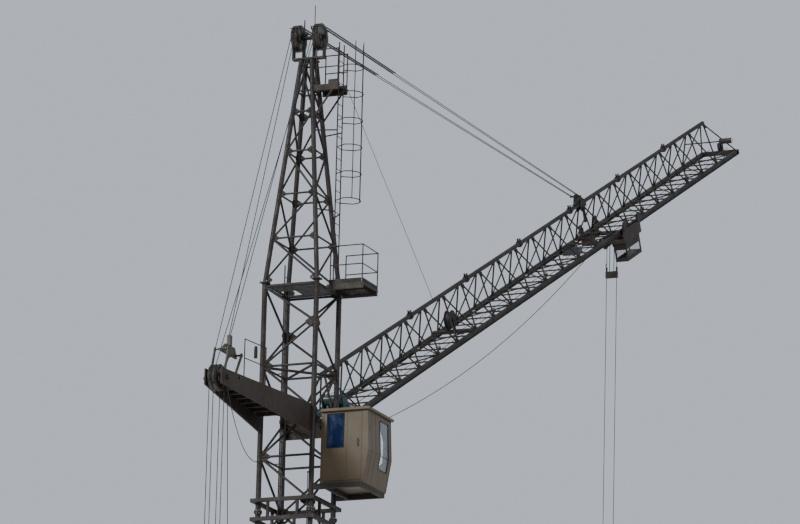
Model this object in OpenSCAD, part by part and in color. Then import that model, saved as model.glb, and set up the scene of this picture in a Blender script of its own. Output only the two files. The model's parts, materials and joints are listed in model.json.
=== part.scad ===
// Rail-mounted tower crane with a raised trolley jib, a pyramid head and a rear spacer.
// The slewing axis is the Z axis, the ground is Z = 0 and the jib points along +X.

/* [Undercarriage] */
// Distance between the two rows of wheels
gauge = 5600; // [4800:100:6400]
// Distance between front and rear bogie centres
wheel_base = 5600; // [4800:100:6400]
// Tread diameter of a travel wheel
wheel_d = 500; // [420:10:600]
// Tread width of a travel wheel
wheel_w = 110; // [90:5:140]
// Distance between the two wheels of one bogie
bogie_pitch = 720; // [660:10:840]
// Middle diameter of the ring frame
ring_d = 2600; // [2300:50:3000]
// Height of the ring frame's box section
ring_h = 460; // [380:10:560]
// Width of the ring frame's box section
ring_w = 420; // [340:10:500]
// Height of the ring frame's underside above the ground
ring_z = 900; // [840:20:1100]

/* [Slewing platform] */
// Height of the slewing bearing between the ring frame and the platform
bearing_h = 160; // [120:10:220]
// Height of the two long platform beams
beam_h = 420; // [360:10:500]
// Width of a long platform beam
beam_w = 220; // [180:10:260]
// Thickness of the deck plate
deck_t = 40; // [20:5:60]
// Length of the platform behind the slewing axis
tail = 4300; // [4200:50:4600]
// Width of the platform
platform_w = 2600; // [2400:50:3000]
// Distance from the slewing axis forward to the tower's axis
tower_x = 1400; // [1200:50:1600]
// Length of the ballast stack
ballast_l = 1450; // [1200:50:1600]
// Height of one ballast block
ballast_h = 560; // [400:10:700]
// Number of ballast blocks in the stack
ballast_n = 4; // [2:1:5]

/* [Tower] */
// Width of the tower between leg centres
tower_w = 1500; // [1400:20:1700]
// Diameter of a tower leg tube
leg_d = 132; // [110:2:150]
// Wall of a leg tube
leg_wall = 10; // [7:1:14]
// Diameter of a tower bracing tube
brace_d = 66; // [50:2:76]
// Height of one whole bay of bracing
bay_h = 2450; // [2200:50:2600]
// Whole bays between the platform and the level of the jib root
bays = 7; // [5:1:7]
// Height of the bay between the jib root's level and the foot of the head
top_bay_h = 2270; // [2150:10:2400]
// Thickness of the flanges between two lengths of leg
flange_t = 30; // [20:2:40]

/* [Pyramid head] */
// Height of the head's legs above the straight tower
head_h = 6300; // [6000:50:6600]
// Width of the head where its legs end
head_top_w = 300; // [280:10:360]
// Diameter of a head sheave
head_sheave_d = 740; // [640:10:800]
// Distance between the two groups of head sheaves
head_sheave_gap = 620; // [580:10:700]
// Height of the lightning rod above the sheave frame
rod_h = 900; // [700:50:1200]

/* [Jib] */
// Angle of the jib above the horizontal
jib_angle = 27; // [22:1:30]
// Distance between two nodes of the jib's top chord
jib_bay = 1530; // [1450:10:1540]
// Whole bays along the top chord
jib_bays = 21; // [18:1:21]
// Distance from the root pin to the first node above the bottom chords
jib_start = 2740; // [2600:20:2800]
// Height of the top chord's centre above the bottom chords' centre
jib_h = 1280; // [1150:10:1400]
// Distance between the bottom chords' centres
jib_w = 1200; // [1100:10:1300]
// Diameter of the top chord
top_chord_d = 116; // [100:2:130]
// Height of a bottom chord's I section
rail_h = 160; // [140:5:180]
// Width of a bottom chord's flanges
rail_w = 90; // [80:2:110]
// Diameter of a jib bracing tube
lace_d = 50; // [40:2:60]
// Diameter of the jib's root pins
root_pin_d = 90; // [70:5:110]

/* [Trolley and hook] */
// Node of the jib under which the trolley stands
trolley_at = 14.5; // [9:0.1:15]
// Length of the trolley frame along the jib
trolley_l = 1640; // [1500:20:1700]
// Length of the maintenance basket
basket_l = 1330; // [1200:10:1400]
// Depth of the maintenance basket's floor below the bottom chords' centre
basket_h = 970; // [900:10:1050]
// Width of the maintenance basket
basket_w = 400; // [340:10:420]
// Distance between the two falls of the hoist rope, across the jib
fall_gap = 330; // [310:5:350]
// Rim diameter of a trolley sheave
trolley_sheave_d = 420; // [400:5:440]
// Length of the hoist rope from the trolley down to the hook block
hoist_drop = 15400; // [14000:100:15500]
// Diameter of the ropes
rope_d = 22; // [16:1:28]

/* [Rear spacer] */
// Distance from the tower's axis back to the big sheave
spacer_l = 5200; // [4900:50:5300]
// Depth of the spacer's beams at the sheaves
spacer_h = 420; // [340:10:520]
// Diameter of the big spacer sheave
spacer_sheave_d = 700; // [600:10:760]

/* [Cab] */
// Length of the cab along the jib's direction
cab_l = 1560; // [1400:20:1700]
// Width of the cab
cab_w = 1360; // [1260:20:1500]
// Height of the cab's walls
cab_h = 1950; // [1850:25:2100]
// Thickness of the cab's walls
cab_wall = 45; // [30:5:60]

/* [Hidden] */

// Clearance between two pieces that bear on each other
gap = 0.3;
// Clearance round a turning pin
pin_gap = 0.05;
// Side wall thickness of plates and brackets
plate = 20;

platform_z = ring_z + ring_h + bearing_h;
deck_z = platform_z + beam_h;
tower_z = deck_z + deck_t;
root_z = tower_z + bays * bay_h;
head_z = root_z + top_bay_h;
half_w = tower_w / 2;
head_axis_z = head_z + head_h + 650;
pivot_x = tower_x + half_w + 270;
pivot_z = root_z - 1400;
spacer_z = root_z - 1380;
cab_y = -(half_w + leg_d / 2 + 130);
cab_x = tower_x - 640;
cab_z = root_z - 1320 - cab_h;
trolley_u = jib_start + trolley_at * jib_bay;

steel_dark = "#3b352d";
steel_worn = "#4a3f33";
steel_light = "#5d5648";
teal = "#2f5a55";
khaki = "#6b6344";
cream = "#8f7f63";
rope_grey = "#2b2d30";
concrete = "#a8a49a";

// A straight bar with few sides from point p to point q
module bar(p, q, d, sides = 6) {
  v = q - p;
  len = norm(v);
  translate(p)
    rotate([0, acos(v.z / len), atan2(v.y, v.x)])
      cylinder(h = len, d = d, $fn = sides);
}

// A box given by its lowest corner and highest corner
module block(low, high) {
  translate(low) cube(high - low);
}

// A box centred on a point
module centred(c, size) {
  translate(c - size / 2) cube(size);
}

// A round disc or drum with its axis along Y, centred on a point
module disc_y(c, d, w) {
  translate([c.x, c.y + w / 2, c.z]) rotate([90, 0, 0]) cylinder(h = w, d = d, $fn = 48);
}

// Depth of a rope groove as a share of its sheave's width
groove_depth = 0.32;

// Radius from a sheave's axle to the middle of a rope lying in its groove
function rope_at(d, w) = d / 2 - groove_depth * w + rope_d / 2 / sin(atan(0.5 / groove_depth));

// Angle of the radius at which a straight rope leaves a wheel of radius r1 for one of radius r2 at distance v.
// A second radius below zero makes the rope cross over to the wheel's other side.
function leaves_at(v, r1, r2, side) = atan2(v.y, v.x) + side * acos((r1 - r2) / norm(v));
function on_wheel(c, r, a) = [c.x + r * cos(a), c.y + r * sin(a)];
function in_plane(p, y) = [p.x, y, p.y];

// A grooved sheave with its axis along Y, a bore and a web lighter than its rim
module sheave_y(c, d, w, bore) {
  groove = w * groove_depth;
  translate(c)
    rotate([90, 0, 0])
      rotate_extrude($fn = 48)
        polygon([
          [bore / 2, -w / 2], [bore, -w / 2], [bore * 1.1, -w / 5],
          [d / 2 - w * 0.9, -w / 5], [d / 2 - w * 0.75, -w / 2], [d / 2, -w / 2],
          [d / 2 - groove, 0], [d / 2, w / 2], [d / 2 - w * 0.75, w / 2],
          [d / 2 - w * 0.9, w / 5], [bore * 1.1, w / 5], [bore, w / 2], [bore / 2, w / 2]
        ]);
}

// Undercarriage
flange_d = wheel_d + 50;
axle_z = flange_d / 2;
bogie_top = axle_z + flange_d / 2 + 65;
lug_t = 50;
lug_bore = 60;

module ring_frame() {
  color(steel_worn)
    translate([0, 0, ring_z])
      rotate_extrude($fn = 64)
        translate([ring_d / 2 - ring_w / 2, 0])
          difference() {
            square([ring_w, ring_h]);
            translate([plate, plate]) square([ring_w - 2 * plate, ring_h - 2 * plate]);
          }
}

module corner_arm() {
  start = ring_d / 2 + ring_w / 2 + gap;
  reach = norm([gauge / 2, wheel_base / 2]);
  rotate([0, 0, atan2(gauge, wheel_base)])
    difference() {
      union() {
        translate([0, 200, 0])
          rotate([90, 0, 0])
            linear_extrude(400)
              polygon([
                [start - 60, ring_z], [reach + 230, ring_z - 160 + 100], [reach + 230, ring_z + 260],
                [start - 60, ring_z + ring_h]
              ]);
        translate([reach, 0, bogie_top + gap])
          cylinder(h = ring_z - 40 - bogie_top, d = 300, $fn = 32);
        block([reach + 220, -90, ring_z + 60], [reach + 380, 90, ring_z + 60 + lug_t]);
      }
      translate([reach + 310, 0, ring_z]) cylinder(h = 200, d = lug_bore, $fn = 48);
      translate([0, 0, ring_z - 200]) cylinder(h = ring_h + 400, r = start, $fn = 64);
    }
}

module corner_arms() {
  color(steel_worn)
    for (sx = [0, 1], sy = [0, 1])
      mirror([sx, 0, 0]) mirror([0, sy, 0]) corner_arm();
}

module bogie_frame() {
  cheek = 40;
  inner = wheel_w + 90;
  for (s = [-1, 1])
    translate([0, s * (inner + cheek) / 2 + cheek / 2, 0])
      rotate([90, 0, 0])
        linear_extrude(cheek)
          difference() {
            polygon([
              [-bogie_pitch / 2 - 190, axle_z - 110], [bogie_pitch / 2 + 190, axle_z - 110],
              [bogie_pitch / 2 + 190, axle_z + 60], [240, bogie_top - 40], [-240, bogie_top - 40],
              [-bogie_pitch / 2 - 190, axle_z + 60]
            ]);
            for (e = [-1, 1]) translate([e * bogie_pitch / 2, axle_z]) circle(d = 91, $fn = 32);
          }
  centred([0, 0, bogie_top - 20], [480, inner + 2 * cheek, 40]);
}

module bogie_frames() {
  color(steel_dark)
    for (sx = [-1, 1], sy = [-1, 1])
      translate([sx * wheel_base / 2, sy * gauge / 2, 0]) bogie_frame();
}

module travel_wheel() {
  lip = 24;
  rotate([90, 0, 0])
    rotate_extrude($fn = 48)
      polygon([
        [0, -wheel_w / 2 - lip - 45], [45, -wheel_w / 2 - lip - 45], [45, -wheel_w / 2 - lip],
        [flange_d / 2, -wheel_w / 2 - lip], [flange_d / 2, -wheel_w / 2 - 6], [wheel_d / 2, -wheel_w / 2],
        [wheel_d / 2, wheel_w / 2], [flange_d / 2, wheel_w / 2 + 6], [flange_d / 2, wheel_w / 2 + lip],
        [45, wheel_w / 2 + lip], [45, wheel_w / 2 + lip + 45], [0, wheel_w / 2 + lip + 45]
      ]);
}

module travel_wheels() {
  color(steel_light)
    for (sx = [-1, 1], sy = [-1, 1], e = [-1, 1])
      translate([sx * wheel_base / 2 + e * bogie_pitch / 2, sy * gauge / 2, axle_z]) travel_wheel();
}

module bearing_ring() {
  color(steel_light)
    translate([0, 0, ring_z + ring_h + gap])
      difference() {
        cylinder(h = bearing_h / 2 - 2 * gap, d = ring_d - 100, $fn = 64);
        translate([0, 0, -1]) cylinder(h = bearing_h, d = ring_d - 420, $fn = 64);
      }
}

module turning_ring() {
  color(steel_light)
    translate([0, 0, ring_z + ring_h + bearing_h / 2 + gap])
      difference() {
        cylinder(h = bearing_h / 2 - 2 * gap, d = ring_d - 60, $fn = 64);
        translate([0, 0, -1]) cylinder(h = bearing_h, d = ring_d - 460, $fn = 64);
      }
}

// Slewing platform
nose = tower_x + half_w + 420;

module platform_beams() {
  color(steel_worn) {
    for (s = [-1, 1])
      block([-tail, s * (half_w) - beam_w / 2, platform_z], [nose, s * half_w + beam_w / 2, deck_z]);
    for (x = [-tail + 200, -1400, 0, tower_x - half_w, tower_x + half_w])
      block([x - 90, -half_w + beam_w / 2 - 1, platform_z + 60], [x + 90, half_w - beam_w / 2 + 1, deck_z]);
  }
}

module platform_deck() {
  color(steel_dark)
    block([-tail, -platform_w / 2, deck_z + gap], [nose, platform_w / 2, tower_z - gap]);
}

module ballast_blocks() {
  slot = 640;
  color(concrete)
    for (i = [0 : ballast_n - 1], s = [-1, 1])
      mirror([0, s > 0 ? 0 : 1, 0])
        block(
          [-tail + 60, slot / 2, tower_z + i * ballast_h],
          [-tail + 60 + ballast_l, platform_w / 2, tower_z + (i + 1) * ballast_h - gap]
        );
}

module winch(c, drum_d, drum_l) {
  base_h = 120;
  side = drum_l / 2 + 60;
  motor_x = c.x + 720;
  motor_z = tower_z + base_h + 220;
  block([c.x - 440, c.y - side - 50, tower_z], [c.x + 980, c.y + side + 50, tower_z + base_h]);
  for (s = [-1, 1])
    block(
      [c.x - 160, c.y + s * side - 30, tower_z + base_h - 1],
      [c.x + 160, c.y + s * side + 30, c.z + 90]
    );
  block([c.x, c.y + side - 30, tower_z + base_h - 1], [motor_x + 160, c.y + side + 40, motor_z + 160]);
  disc_y(c, drum_d, drum_l);
  for (s = [-1, 1]) disc_y([c.x, c.y + s * (drum_l / 2 - 12), c.z], drum_d + 120, 24);
  disc_y(c, 110, 2 * side + 40);
  disc_y([motor_x, c.y - 20, motor_z], 300, 2 * side);
  block([motor_x - 100, c.y - side + 60, tower_z + base_h - 1], [motor_x + 100, c.y + side - 30, motor_z]);
}

module hoist_winch() {
  color(teal) winch([hoist_drum_x, -260, tower_z + 480], hoist_drum_d, 560);
}

module luffing_winch() {
  color(teal) winch([spacer_x, 0, luff_drum_z], luff_drum_d, 380);
}

// Tower lattice
// Corner k of a square of width w round the tower's axis, counted from the rear right leg
function corner(k, w) = [
  tower_x + w / 2 * [-1, 1, 1, -1][k % 4],
  w / 2 * [-1, -1, 1, 1][k % 4]
];
function at(k, w, z) = [corner(k, w).x, corner(k, w).y, z];

// A leg as an eight-sided tube standing with its flats square to the faces
module leg_tube(p, q, d) {
  v = q - p;
  len = norm(v);
  translate(p)
    rotate([0, acos(v.z / len), atan2(v.y, v.x)])
      rotate([0, 0, 22.5 - atan2(v.y, v.x)]) cylinder(h = len, d = d / cos(22.5), $fn = 8);
}

// Whole-bay nodes stand on the rear left and front right legs, half-bay nodes on the others
module tower_face(k) {
  a = k % 2 == 1 ? k : k + 1;
  b = k % 2 == 1 ? k + 1 : k;
  color(steel_dark)
    difference() {
      union() {
        leg_tube(at(k, tower_w, tower_z), at(k, tower_w, head_z - gap), leg_d);
        for (i = [1 : 2 : bays - 1])
          translate(at(k, tower_w, root_z - (i + 0.5) * bay_h - 250 - flange_t))
            rotate([0, 0, 22.5]) cylinder(h = 2 * flange_t, d = leg_d + 90, $fn = 8);
        translate(at(k, tower_w, tower_z)) centred([0, 0, flange_t / 2], [leg_d + 120, leg_d + 120, flange_t]);
        for (i = [0 : bays]) {
          z = root_z - i * bay_h;
          rise = i == 0 ? top_bay_h : bay_h;
          foot = max(z, tower_z + 90);
          roof = i == 0 ? head_z - 90 : z + rise;
          bar(at(a, tower_w, foot), at(b, tower_w, foot), brace_d);
          bar(at(a, tower_w, foot), at(b, tower_w, z + rise / 2), brace_d);
          bar(at(b, tower_w, z + rise / 2), at(a, tower_w, roof), brace_d);
        }
        bar(at(a, tower_w, head_z - 90), at(b, tower_w, head_z - 90), brace_d);
      }
      leg_tube(at(k, tower_w, tower_z - 1), at(k, tower_w, head_z + 1), leg_d - 2 * leg_wall);
      translate(at(k + 1, tower_w, (head_z + tower_z) / 2))
        centred([0, 0, 0], [leg_d + 2 * gap, leg_d + 2 * gap, head_z - tower_z + 300]);
    }
}

module tower_right() { tower_face(0); }
module tower_front() { tower_face(1); }
module tower_left() { tower_face(2); }
module tower_rear() { tower_face(3); }

// Plan frames across the tower at the jib root's level and half a bay below it
module tower_frames() {
  color(steel_worn)
    for (z = [root_z, root_z - bay_h / 2])
      difference() {
        union() {
          bar(at(3, tower_w, z - 20), at(1, tower_w, z - 20), brace_d + 10);
          bar(at(0, tower_w, z - 20), at(2, tower_w, z - 20), brace_d + 10);
        }
        for (k = [0 : 3]) leg_tube(at(k, tower_w, z - 300), at(k, tower_w, z + 300), leg_d + 2 * gap);
        for (s = [-1, 1]) {
          centred([tower_x + s * half_w, 0, z], [brace_d + 2, tower_w, 500]);
          centred([tower_x, s * half_w, z], [tower_w, brace_d + 2, 500]);
        }
      }
}

ladder_w = 320;
ladder_x = tower_x + 260;

module tower_ladder() {
  y = half_w - 190;
  color(steel_dark) {
    for (s = [-1, 1])
      bar([ladder_x + s * ladder_w / 2, y, tower_z + gap], [ladder_x + s * ladder_w / 2, y, head_z + 700], 36);
    for (z = [tower_z + 300 : 300 : head_z + 600])
      bar([ladder_x - ladder_w / 2, y, z], [ladder_x + ladder_w / 2, y, z], 22);
  }
}

module inner_platform() {
  side = tower_w - 20;
  z = head_z - 90 + brace_d / 2 + gap;
  color(steel_dark)
    difference() {
      block([tower_x - side / 2, -side / 2, z], [tower_x + side / 2, side / 2, z + 24]);
      block([ladder_x - 260, half_w - 560, z - 1], [ladder_x + 260, half_w - 100, z + 25]);
      for (k = [0 : 3])
        translate(at(k, tower_w, z)) centred([0, 0, 0], [leg_d + 2 * gap, leg_d + 2 * gap, 200]);
    }
}

// Railing of posts and two rails along a path of points
module railing(path, h, d = 34) {
  for (i = [0 : len(path) - 1])
    bar(path[i], path[i] + [0, 0, h], d);
  for (i = [0 : len(path) - 2], k = [0.5, 1])
    bar(path[i] + [0, 0, h * k - d / 2], path[i + 1] + [0, 0, h * k - d / 2], d);
}

module mid_platform() {
  z = head_z - 60;
  y0 = -(half_w + leg_d / 2 + gap);
  y1 = y0 - 1030;
  x0 = tower_x - 250;
  x1 = tower_x + half_w + leg_d / 2;
  color(steel_dark) {
    difference() {
      block([x0, y1, z], [x1, y0, z + 40]);
      block([tower_x + ladder_w / 2 + 60, y1 + 200, z - 1], [x1 - 90, y0 - 200, z + 41]);
    }
    block([x0, y1, z - 110], [x0 + 80, -half_w - brace_d / 2 * cos(30) - gap, z + 1]);
    block([x1 - leg_d / 2 - 40, y1, z - 110], [x1 - leg_d / 2 + 40, y0, z + 1]);
    railing([[x0 + 20, y0 - 90, z + 39], [x0 + 20, y1 + 20, z + 39], [x1 - 20, y1 + 20, z + 39],
             [x1 - 20, y0 - 90, z + 39]], 1050);
  }
}

// Pyramid head
head_pin_d = 110;
head_levels = [0, 1250, 2490, 3700, 4820, head_h - 120];
function head_w(z) = tower_w - (tower_w - head_top_w) * z / head_h;
function hp(k, z) = at(k, head_w(z), head_z + z);

module head_face(k) {
  n = len(head_levels) - 1;
  first = k < 2 ? k : k + 1;
  other = k < 2 ? k + 1 : k;
  color(steel_dark)
    difference() {
      union() {
        leg_tube(hp(k, 0), hp(k, head_h), leg_d - 12);
        translate(hp(k, 0)) centred([0, 0, flange_t / 2], [leg_d + 90, leg_d + 90, flange_t]);
        for (i = [0 : n - 1]) {
          lo = max(head_levels[i], 80);
          bar(hp(i % 2 == 0 ? first : other, lo), hp(i % 2 == 0 ? other : first, head_levels[i + 1]), brace_d - 6);
          bar(hp(k, head_levels[i + 1]), hp(k + 1, head_levels[i + 1]), brace_d - 10);
        }
        bar(hp(k, head_deck - 60), hp(k + 1, head_deck - 60), brace_d - 10);
      }
      translate([0, 0, head_z - 100]) centred([tower_x, 0, 0], [3000, 3000, 200]);
      translate([tower_x, 0, head_z + head_h]) cylinder(h = 300, d = 3000, $fn = 4);
      next_leg(k + 1);
      translate(hp(k + 1, 0)) centred([0, 0, flange_t / 2], [leg_d + 92, leg_d + 92, flange_t + 2]);
    }
}

// The space of the next leg with its clearance
module next_leg(k) {
  p = hp(k, -100);
  q = hp(k, head_h + 100);
  leg_tube(p, q, leg_d - 12 + 2 * gap);
}

module head_right() { head_face(0); }
module head_front() { head_face(1); }
module head_left() { head_face(2); }
module head_rear() { head_face(3); }

module sheave_frame() {
  z0 = head_z + head_h + gap;
  w = head_top_w + leg_d + 20;
  out = head_sheave_gap / 2 + 150;
  color(steel_dark) {
    block([tower_x - w / 2, -w / 2, z0], [tower_x + w / 2, w / 2, z0 + 40]);
    block([tower_x - 90, -out, z0 + 39], [tower_x + 90, out, z0 + 90]);
    for (s = [-1, 1]) {
      cheek(s * 150, z0 + 89);
      cheek(s * (out - 15), z0 + 89);
    }
    disc_y([tower_x, 0, head_axis_z], head_pin_d, 2 * out);
  }
}

// Upright plate with a round top that carries the head sheaves' axle
module cheek(y, z) {
  translate([0, y + 15, 0])
    rotate([90, 0, 0])
      linear_extrude(30) {
        translate([tower_x - 90, z]) square([180, head_axis_z - z]);
        translate([tower_x, head_axis_z]) circle(d = 180, $fn = 48);
      }
}

module head_sheaves() {
  color(steel_dark)
    for (s = [-1, 1], e = [-1, 1])
      sheave_y([tower_x, s * head_sheave_gap / 2 + e * 46, head_axis_z], head_sheave_d, 80, head_pin_d + 2 * pin_gap);
}

cage_y = -960;
cage_r = 340;
head_deck = head_h - 830;

module head_platform() {
  z = head_z + head_deck;
  y0 = -head_w(head_deck) / 2 - leg_d / 2 - 12;
  y1 = cage_y - 60;
  x0 = tower_x - 330;
  x1 = tower_x + 330;
  color(steel_worn) {
    difference() {
      block([x0, y1, z], [x1, y0, z + 40]);
      block([tower_x - ladder_w / 2 - 30, y1 - 1, z - 1], [tower_x + ladder_w / 2 + 30, cage_y + 30, z + 41]);
    }
    for (x = [x0, x1 - 60]) block([x, y1, z - 120], [x + 60, y0, z + 1]);
    difference() {
      for (s = [-1, 1])
        bar([tower_x + s * 300, y1 + 130, z - 60], [tower_x + s * head_w(head_deck - 800) / 2,
            -head_w(head_deck - 800) / 2 - leg_d / 2 + 10, z - 800], 60);
      for (k = [0, 1]) next_leg(k);
    }
    for (s = [-1, 1])
      railing([[tower_x + s * 310, y0 - 60, z + 39], [tower_x + s * 310, y1 + 20, z + 39]], 1000);
  }
}

// Ladder on the right side of the head, with hoops round its upper part
ladder_top = head_z + head_deck + 1230;
cage_z = head_z + 0.365 * head_h;

module head_ladder() {
  z0 = head_z - 20 + gap;
  z1 = ladder_top;
  color(steel_dark) {
    for (s = [-1, 1])
      bar([tower_x + s * ladder_w / 2, cage_y, z0], [tower_x + s * ladder_w / 2, cage_y, z1], 34);
    for (z = [z0 + 200 : 300 : z1 - 100])
      bar([tower_x - ladder_w / 2, cage_y, z], [tower_x + ladder_w / 2, cage_y, z], 22);
    for (z = [head_z + 2000, head_z + 4250], s = [-1, 1])
      bar([tower_x + s * ladder_w / 2, cage_y, z],
          [tower_x + s * head_w(z - head_z) / 2 * 0.93, -head_w(z - head_z) / 2 - leg_d / 2 + 4, z], 40);
  }
}

module ladder_hoops() {
  color(steel_dark) {
    difference() {
      for (z = [cage_z : 740 : ladder_top]) hoop(z);
      for (s = [-1, 1])
        bar([tower_x + s * ladder_w / 2, cage_y, cage_z - 50], [tower_x + s * ladder_w / 2, cage_y, ladder_top + 50],
            34 + 2 * gap);
    }
    for (t = [-40, -90, -140])
      bar(hoop_point(t, cage_z), hoop_point(t, ladder_top - 40), 26);
  }
}

function hoop_point(t, z) = [tower_x + cage_r * cos(t), cage_y - 300 + cage_r * sin(t), z];

module hoop(z) {
  pts = concat(
    [[tower_x - ladder_w / 2 - 4, cage_y - 17 - gap, z]],
    [for (t = [-180 : 30 : 0]) hoop_point(t, z)],
    [[tower_x + ladder_w / 2 + 4, cage_y - 17 - gap, z]]
  );
  for (i = [0 : len(pts) - 2]) bar(pts[i], pts[i + 1], 28);
}

module lightning_rod() {
  z0 = head_axis_z + 90 + gap;
  color(steel_light) {
    bar([tower_x, -150, z0], [tower_x, -150, head_axis_z + rod_h], 26, 8);
    bar([tower_x, 150, z0], [tower_x, 150, z0 + 420], 40, 8);
  }
}

// Rear spacer
spacer_pin_d = 100;
spacer_x = tower_x - spacer_l;
spacer_root = tower_x - half_w - leg_d / 2 - gap;
spacer_tail = spacer_x - 240;
tail_y = 230;
beam_t = 40;
small_x = spacer_x + 640;
small_d = 420;
small_r = rope_at(small_d, 80);
luff_drum_z = tower_z + 520;
spacer_r = rope_at(spacer_sheave_d, 100);
luff_drum_d = 2 * (spacer_r - rope_d / 2 - gap);
hoist_drum_d = 360;
hoist_drum_x = -1900;

// Distance of a spacer beam from the middle at x
function spacer_y(x) = tail_y + (half_w - 60 - tail_y) * (x - spacer_tail) / (spacer_root - spacer_tail);

module spacer_beam(s) {
  low = spacer_h / 2;
  difference() {
    hull() {
      block([spacer_tail, s * tail_y - beam_t / 2, spacer_z - low],
            [spacer_tail + 50, s * tail_y + beam_t / 2, spacer_z + low]);
      block([spacer_root - 50, s * (half_w - 60) - beam_t / 2, spacer_z - low - 260],
            [spacer_root, s * (half_w - 60) + beam_t / 2, spacer_z + low + 60]);
    }
    disc_y([spacer_x, 0, spacer_z], spacer_pin_d + 2 * pin_gap, 2 * tail_y + 300);
    disc_y([small_x, 0, spacer_z + 120], 60 + 2 * pin_gap, 2 * tail_y + 500);
  }
}

module spacer_frame() {
  color(steel_worn) {
    for (s = [-1, 1]) spacer_beam(s);
    for (x = [small_x + 360 : 500 : spacer_root - 100])
      centred([x, 0, spacer_z + 20], [80, 2 * spacer_y(x), 200]);
    translate([0, 0, spacer_z + 118])
      linear_extrude(12)
        polygon([for (p = [[small_x + 330, 1], [spacer_root - 60, 1], [spacer_root - 60, -1], [small_x + 330, -1]])
                 [p.x, p.y * spacer_y(p.x)]]);
  }
}

module spacer_sheaves() {
  color(steel_dark) {
    for (y = [-60, 60]) sheave_y([spacer_x, y, spacer_z], spacer_sheave_d, 100, spacer_pin_d + 2 * pin_gap);
    disc_y([spacer_x, 0, spacer_z], spacer_pin_d, 2 * (tail_y + 90));
    sheave_y([small_x, 90, spacer_z + 120], small_d, 80, 60 + 2 * pin_gap);
    disc_y([small_x, 0, spacer_z + 120], 60, 2 * (spacer_y(small_x) + 60));
  }
}

eq = [tower_x - spacer_l + 700, 0, root_z - 520];

module equalizer() {
  strap_t = 26;
  color(khaki) {
    translate([0, 30, 0])
      rotate([90, 0, 0])
        linear_extrude(60)
          difference() {
            polygon([
              [eq.x - 560, eq.z - 110], [eq.x + 440, eq.z - 110], [eq.x + 300, eq.z + 150], [eq.x - 260, eq.z + 150]
            ]);
            for (x = [-470, 350]) translate([eq.x + x, eq.z - 40]) circle(d = 60, $fn = 32);
          }
    block([eq.x - 60, -50, eq.z + 149], [eq.x + 60, 50, eq.z + 420]);
    for (y = [-190, 190]) {
      strap([eq.x - 470, y, eq.z - 40], [spacer_x, y, spacer_z], strap_t, spacer_pin_d);
      strap([eq.x + 350, y, eq.z - 40], [small_x, y, spacer_z + 120], strap_t, 60);
    }
    disc_y([eq.x - 470, 0, eq.z - 40], 58, 440);
    disc_y([eq.x + 350, 0, eq.z - 40], 58, 440);
  }
}

// Flat link with an eye at each end
module strap(p, q, t, pin) {
  difference() {
    union() {
      len = norm(q - p);
      translate([p.x, p.y + t / 2, p.z])
        rotate([90, 0, 0])
          rotate([0, 0, atan2(q.z - p.z, q.x - p.x)]) translate([0, -45, 0]) cube([len, 90, t]);
      disc_y(p, 120, t);
      disc_y(q, pin + 70, t);
    }
    disc_y(q, pin + 2 * pin_gap, t + 2);
  }
}

// Ropes from the head down to the spacer, and from the spacer down to the platform
module rear_ropes() {
  head = [tower_x, head_axis_z];
  tail_c = [spacer_x, spacer_z];
  small_c = [small_x, spacer_z + 120];
  drum_c = [hoist_drum_x, tower_z + 480];
  eye = [eq.x, eq.z + 420 + gap + rope_d / 4];
  drum_r = hoist_drum_d / 2 + rope_d / 2 + gap;
  a_tail = leaves_at(tail_c - head, over_r, spacer_r, -1);
  a_eye = leaves_at(eye - head, over_r, 0, -1);
  a_drum = leaves_at(drum_c - small_c, small_r, -drum_r, 1);
  near = head_sheave_gap / 2;
  color(rope_grey) {
    for (s = [-1, 1]) {
      bar(in_plane(on_wheel(head, over_r, a_tail), s * (near + 46)),
          in_plane(on_wheel(tail_c, spacer_r, a_tail), s * 60), rope_d);
      bar(in_plane(on_wheel(head, over_r, a_eye), s * (near - 46)), in_plane(eye, s * 20), rope_d);
      for (e = [-1, 1])
        bar([spacer_x + e * spacer_r, s * 60, spacer_z], [spacer_x + e * spacer_r, s * 60, luff_drum_z], rope_d);
    }
    bar(in_plane(on_wheel(small_c, small_r, a_drum), 90), in_plane(on_wheel(drum_c, -drum_r, a_drum), -60), rope_d);
  }
}

module spacer_rail() {
  z = spacer_z + spacer_h / 2;
  x0 = spacer_x + 900;
  x1 = spacer_x + 2000;
  z0 = z + 62 * (x0 - spacer_tail) / (spacer_root - spacer_tail);
  z1 = z + 62 * (x1 - spacer_tail) / (spacer_root - spacer_tail);
  color(steel_dark)
    railing([[x0, -spacer_y(x0), z0], [x1, -spacer_y(x1), z1]], 1000, 30);
}

// Cab
// Outline of the cab across the jib, with the outer wall bent out at its middle, less e all round
module cab_outline(e) {
  y0 = cab_y - cab_w;
  polygon([
    [cab_y - e, cab_z + e], [y0 + 150 + e, cab_z + e], [y0 + e, cab_z + cab_h * 0.45],
    [y0 + 50 + e, cab_z + cab_h - e], [cab_y - e, cab_z + cab_h - e]
  ]);
}

// A length of the cab's outline from x0 to x1
module cab_block(x0, x1, e) {
  translate([x0, 0, 0]) rotate([90, 0, 90]) linear_extrude(x1 - x0) cab_outline(e);
}

module cab_shell() {
  x1 = cab_x + cab_l;
  y0 = cab_y - cab_w;
  color(cream)
    difference() {
      union() {
        cab_block(cab_x, x1, 0);
        block([cab_x - 60, y0 - 10, cab_z + cab_h - 1], [x1 + 90, cab_y, cab_z + cab_h + 70]);
      }
      cab_block(cab_x + cab_wall, x1 - cab_wall, cab_wall);
      cab_holes(0);
    }
}

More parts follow.
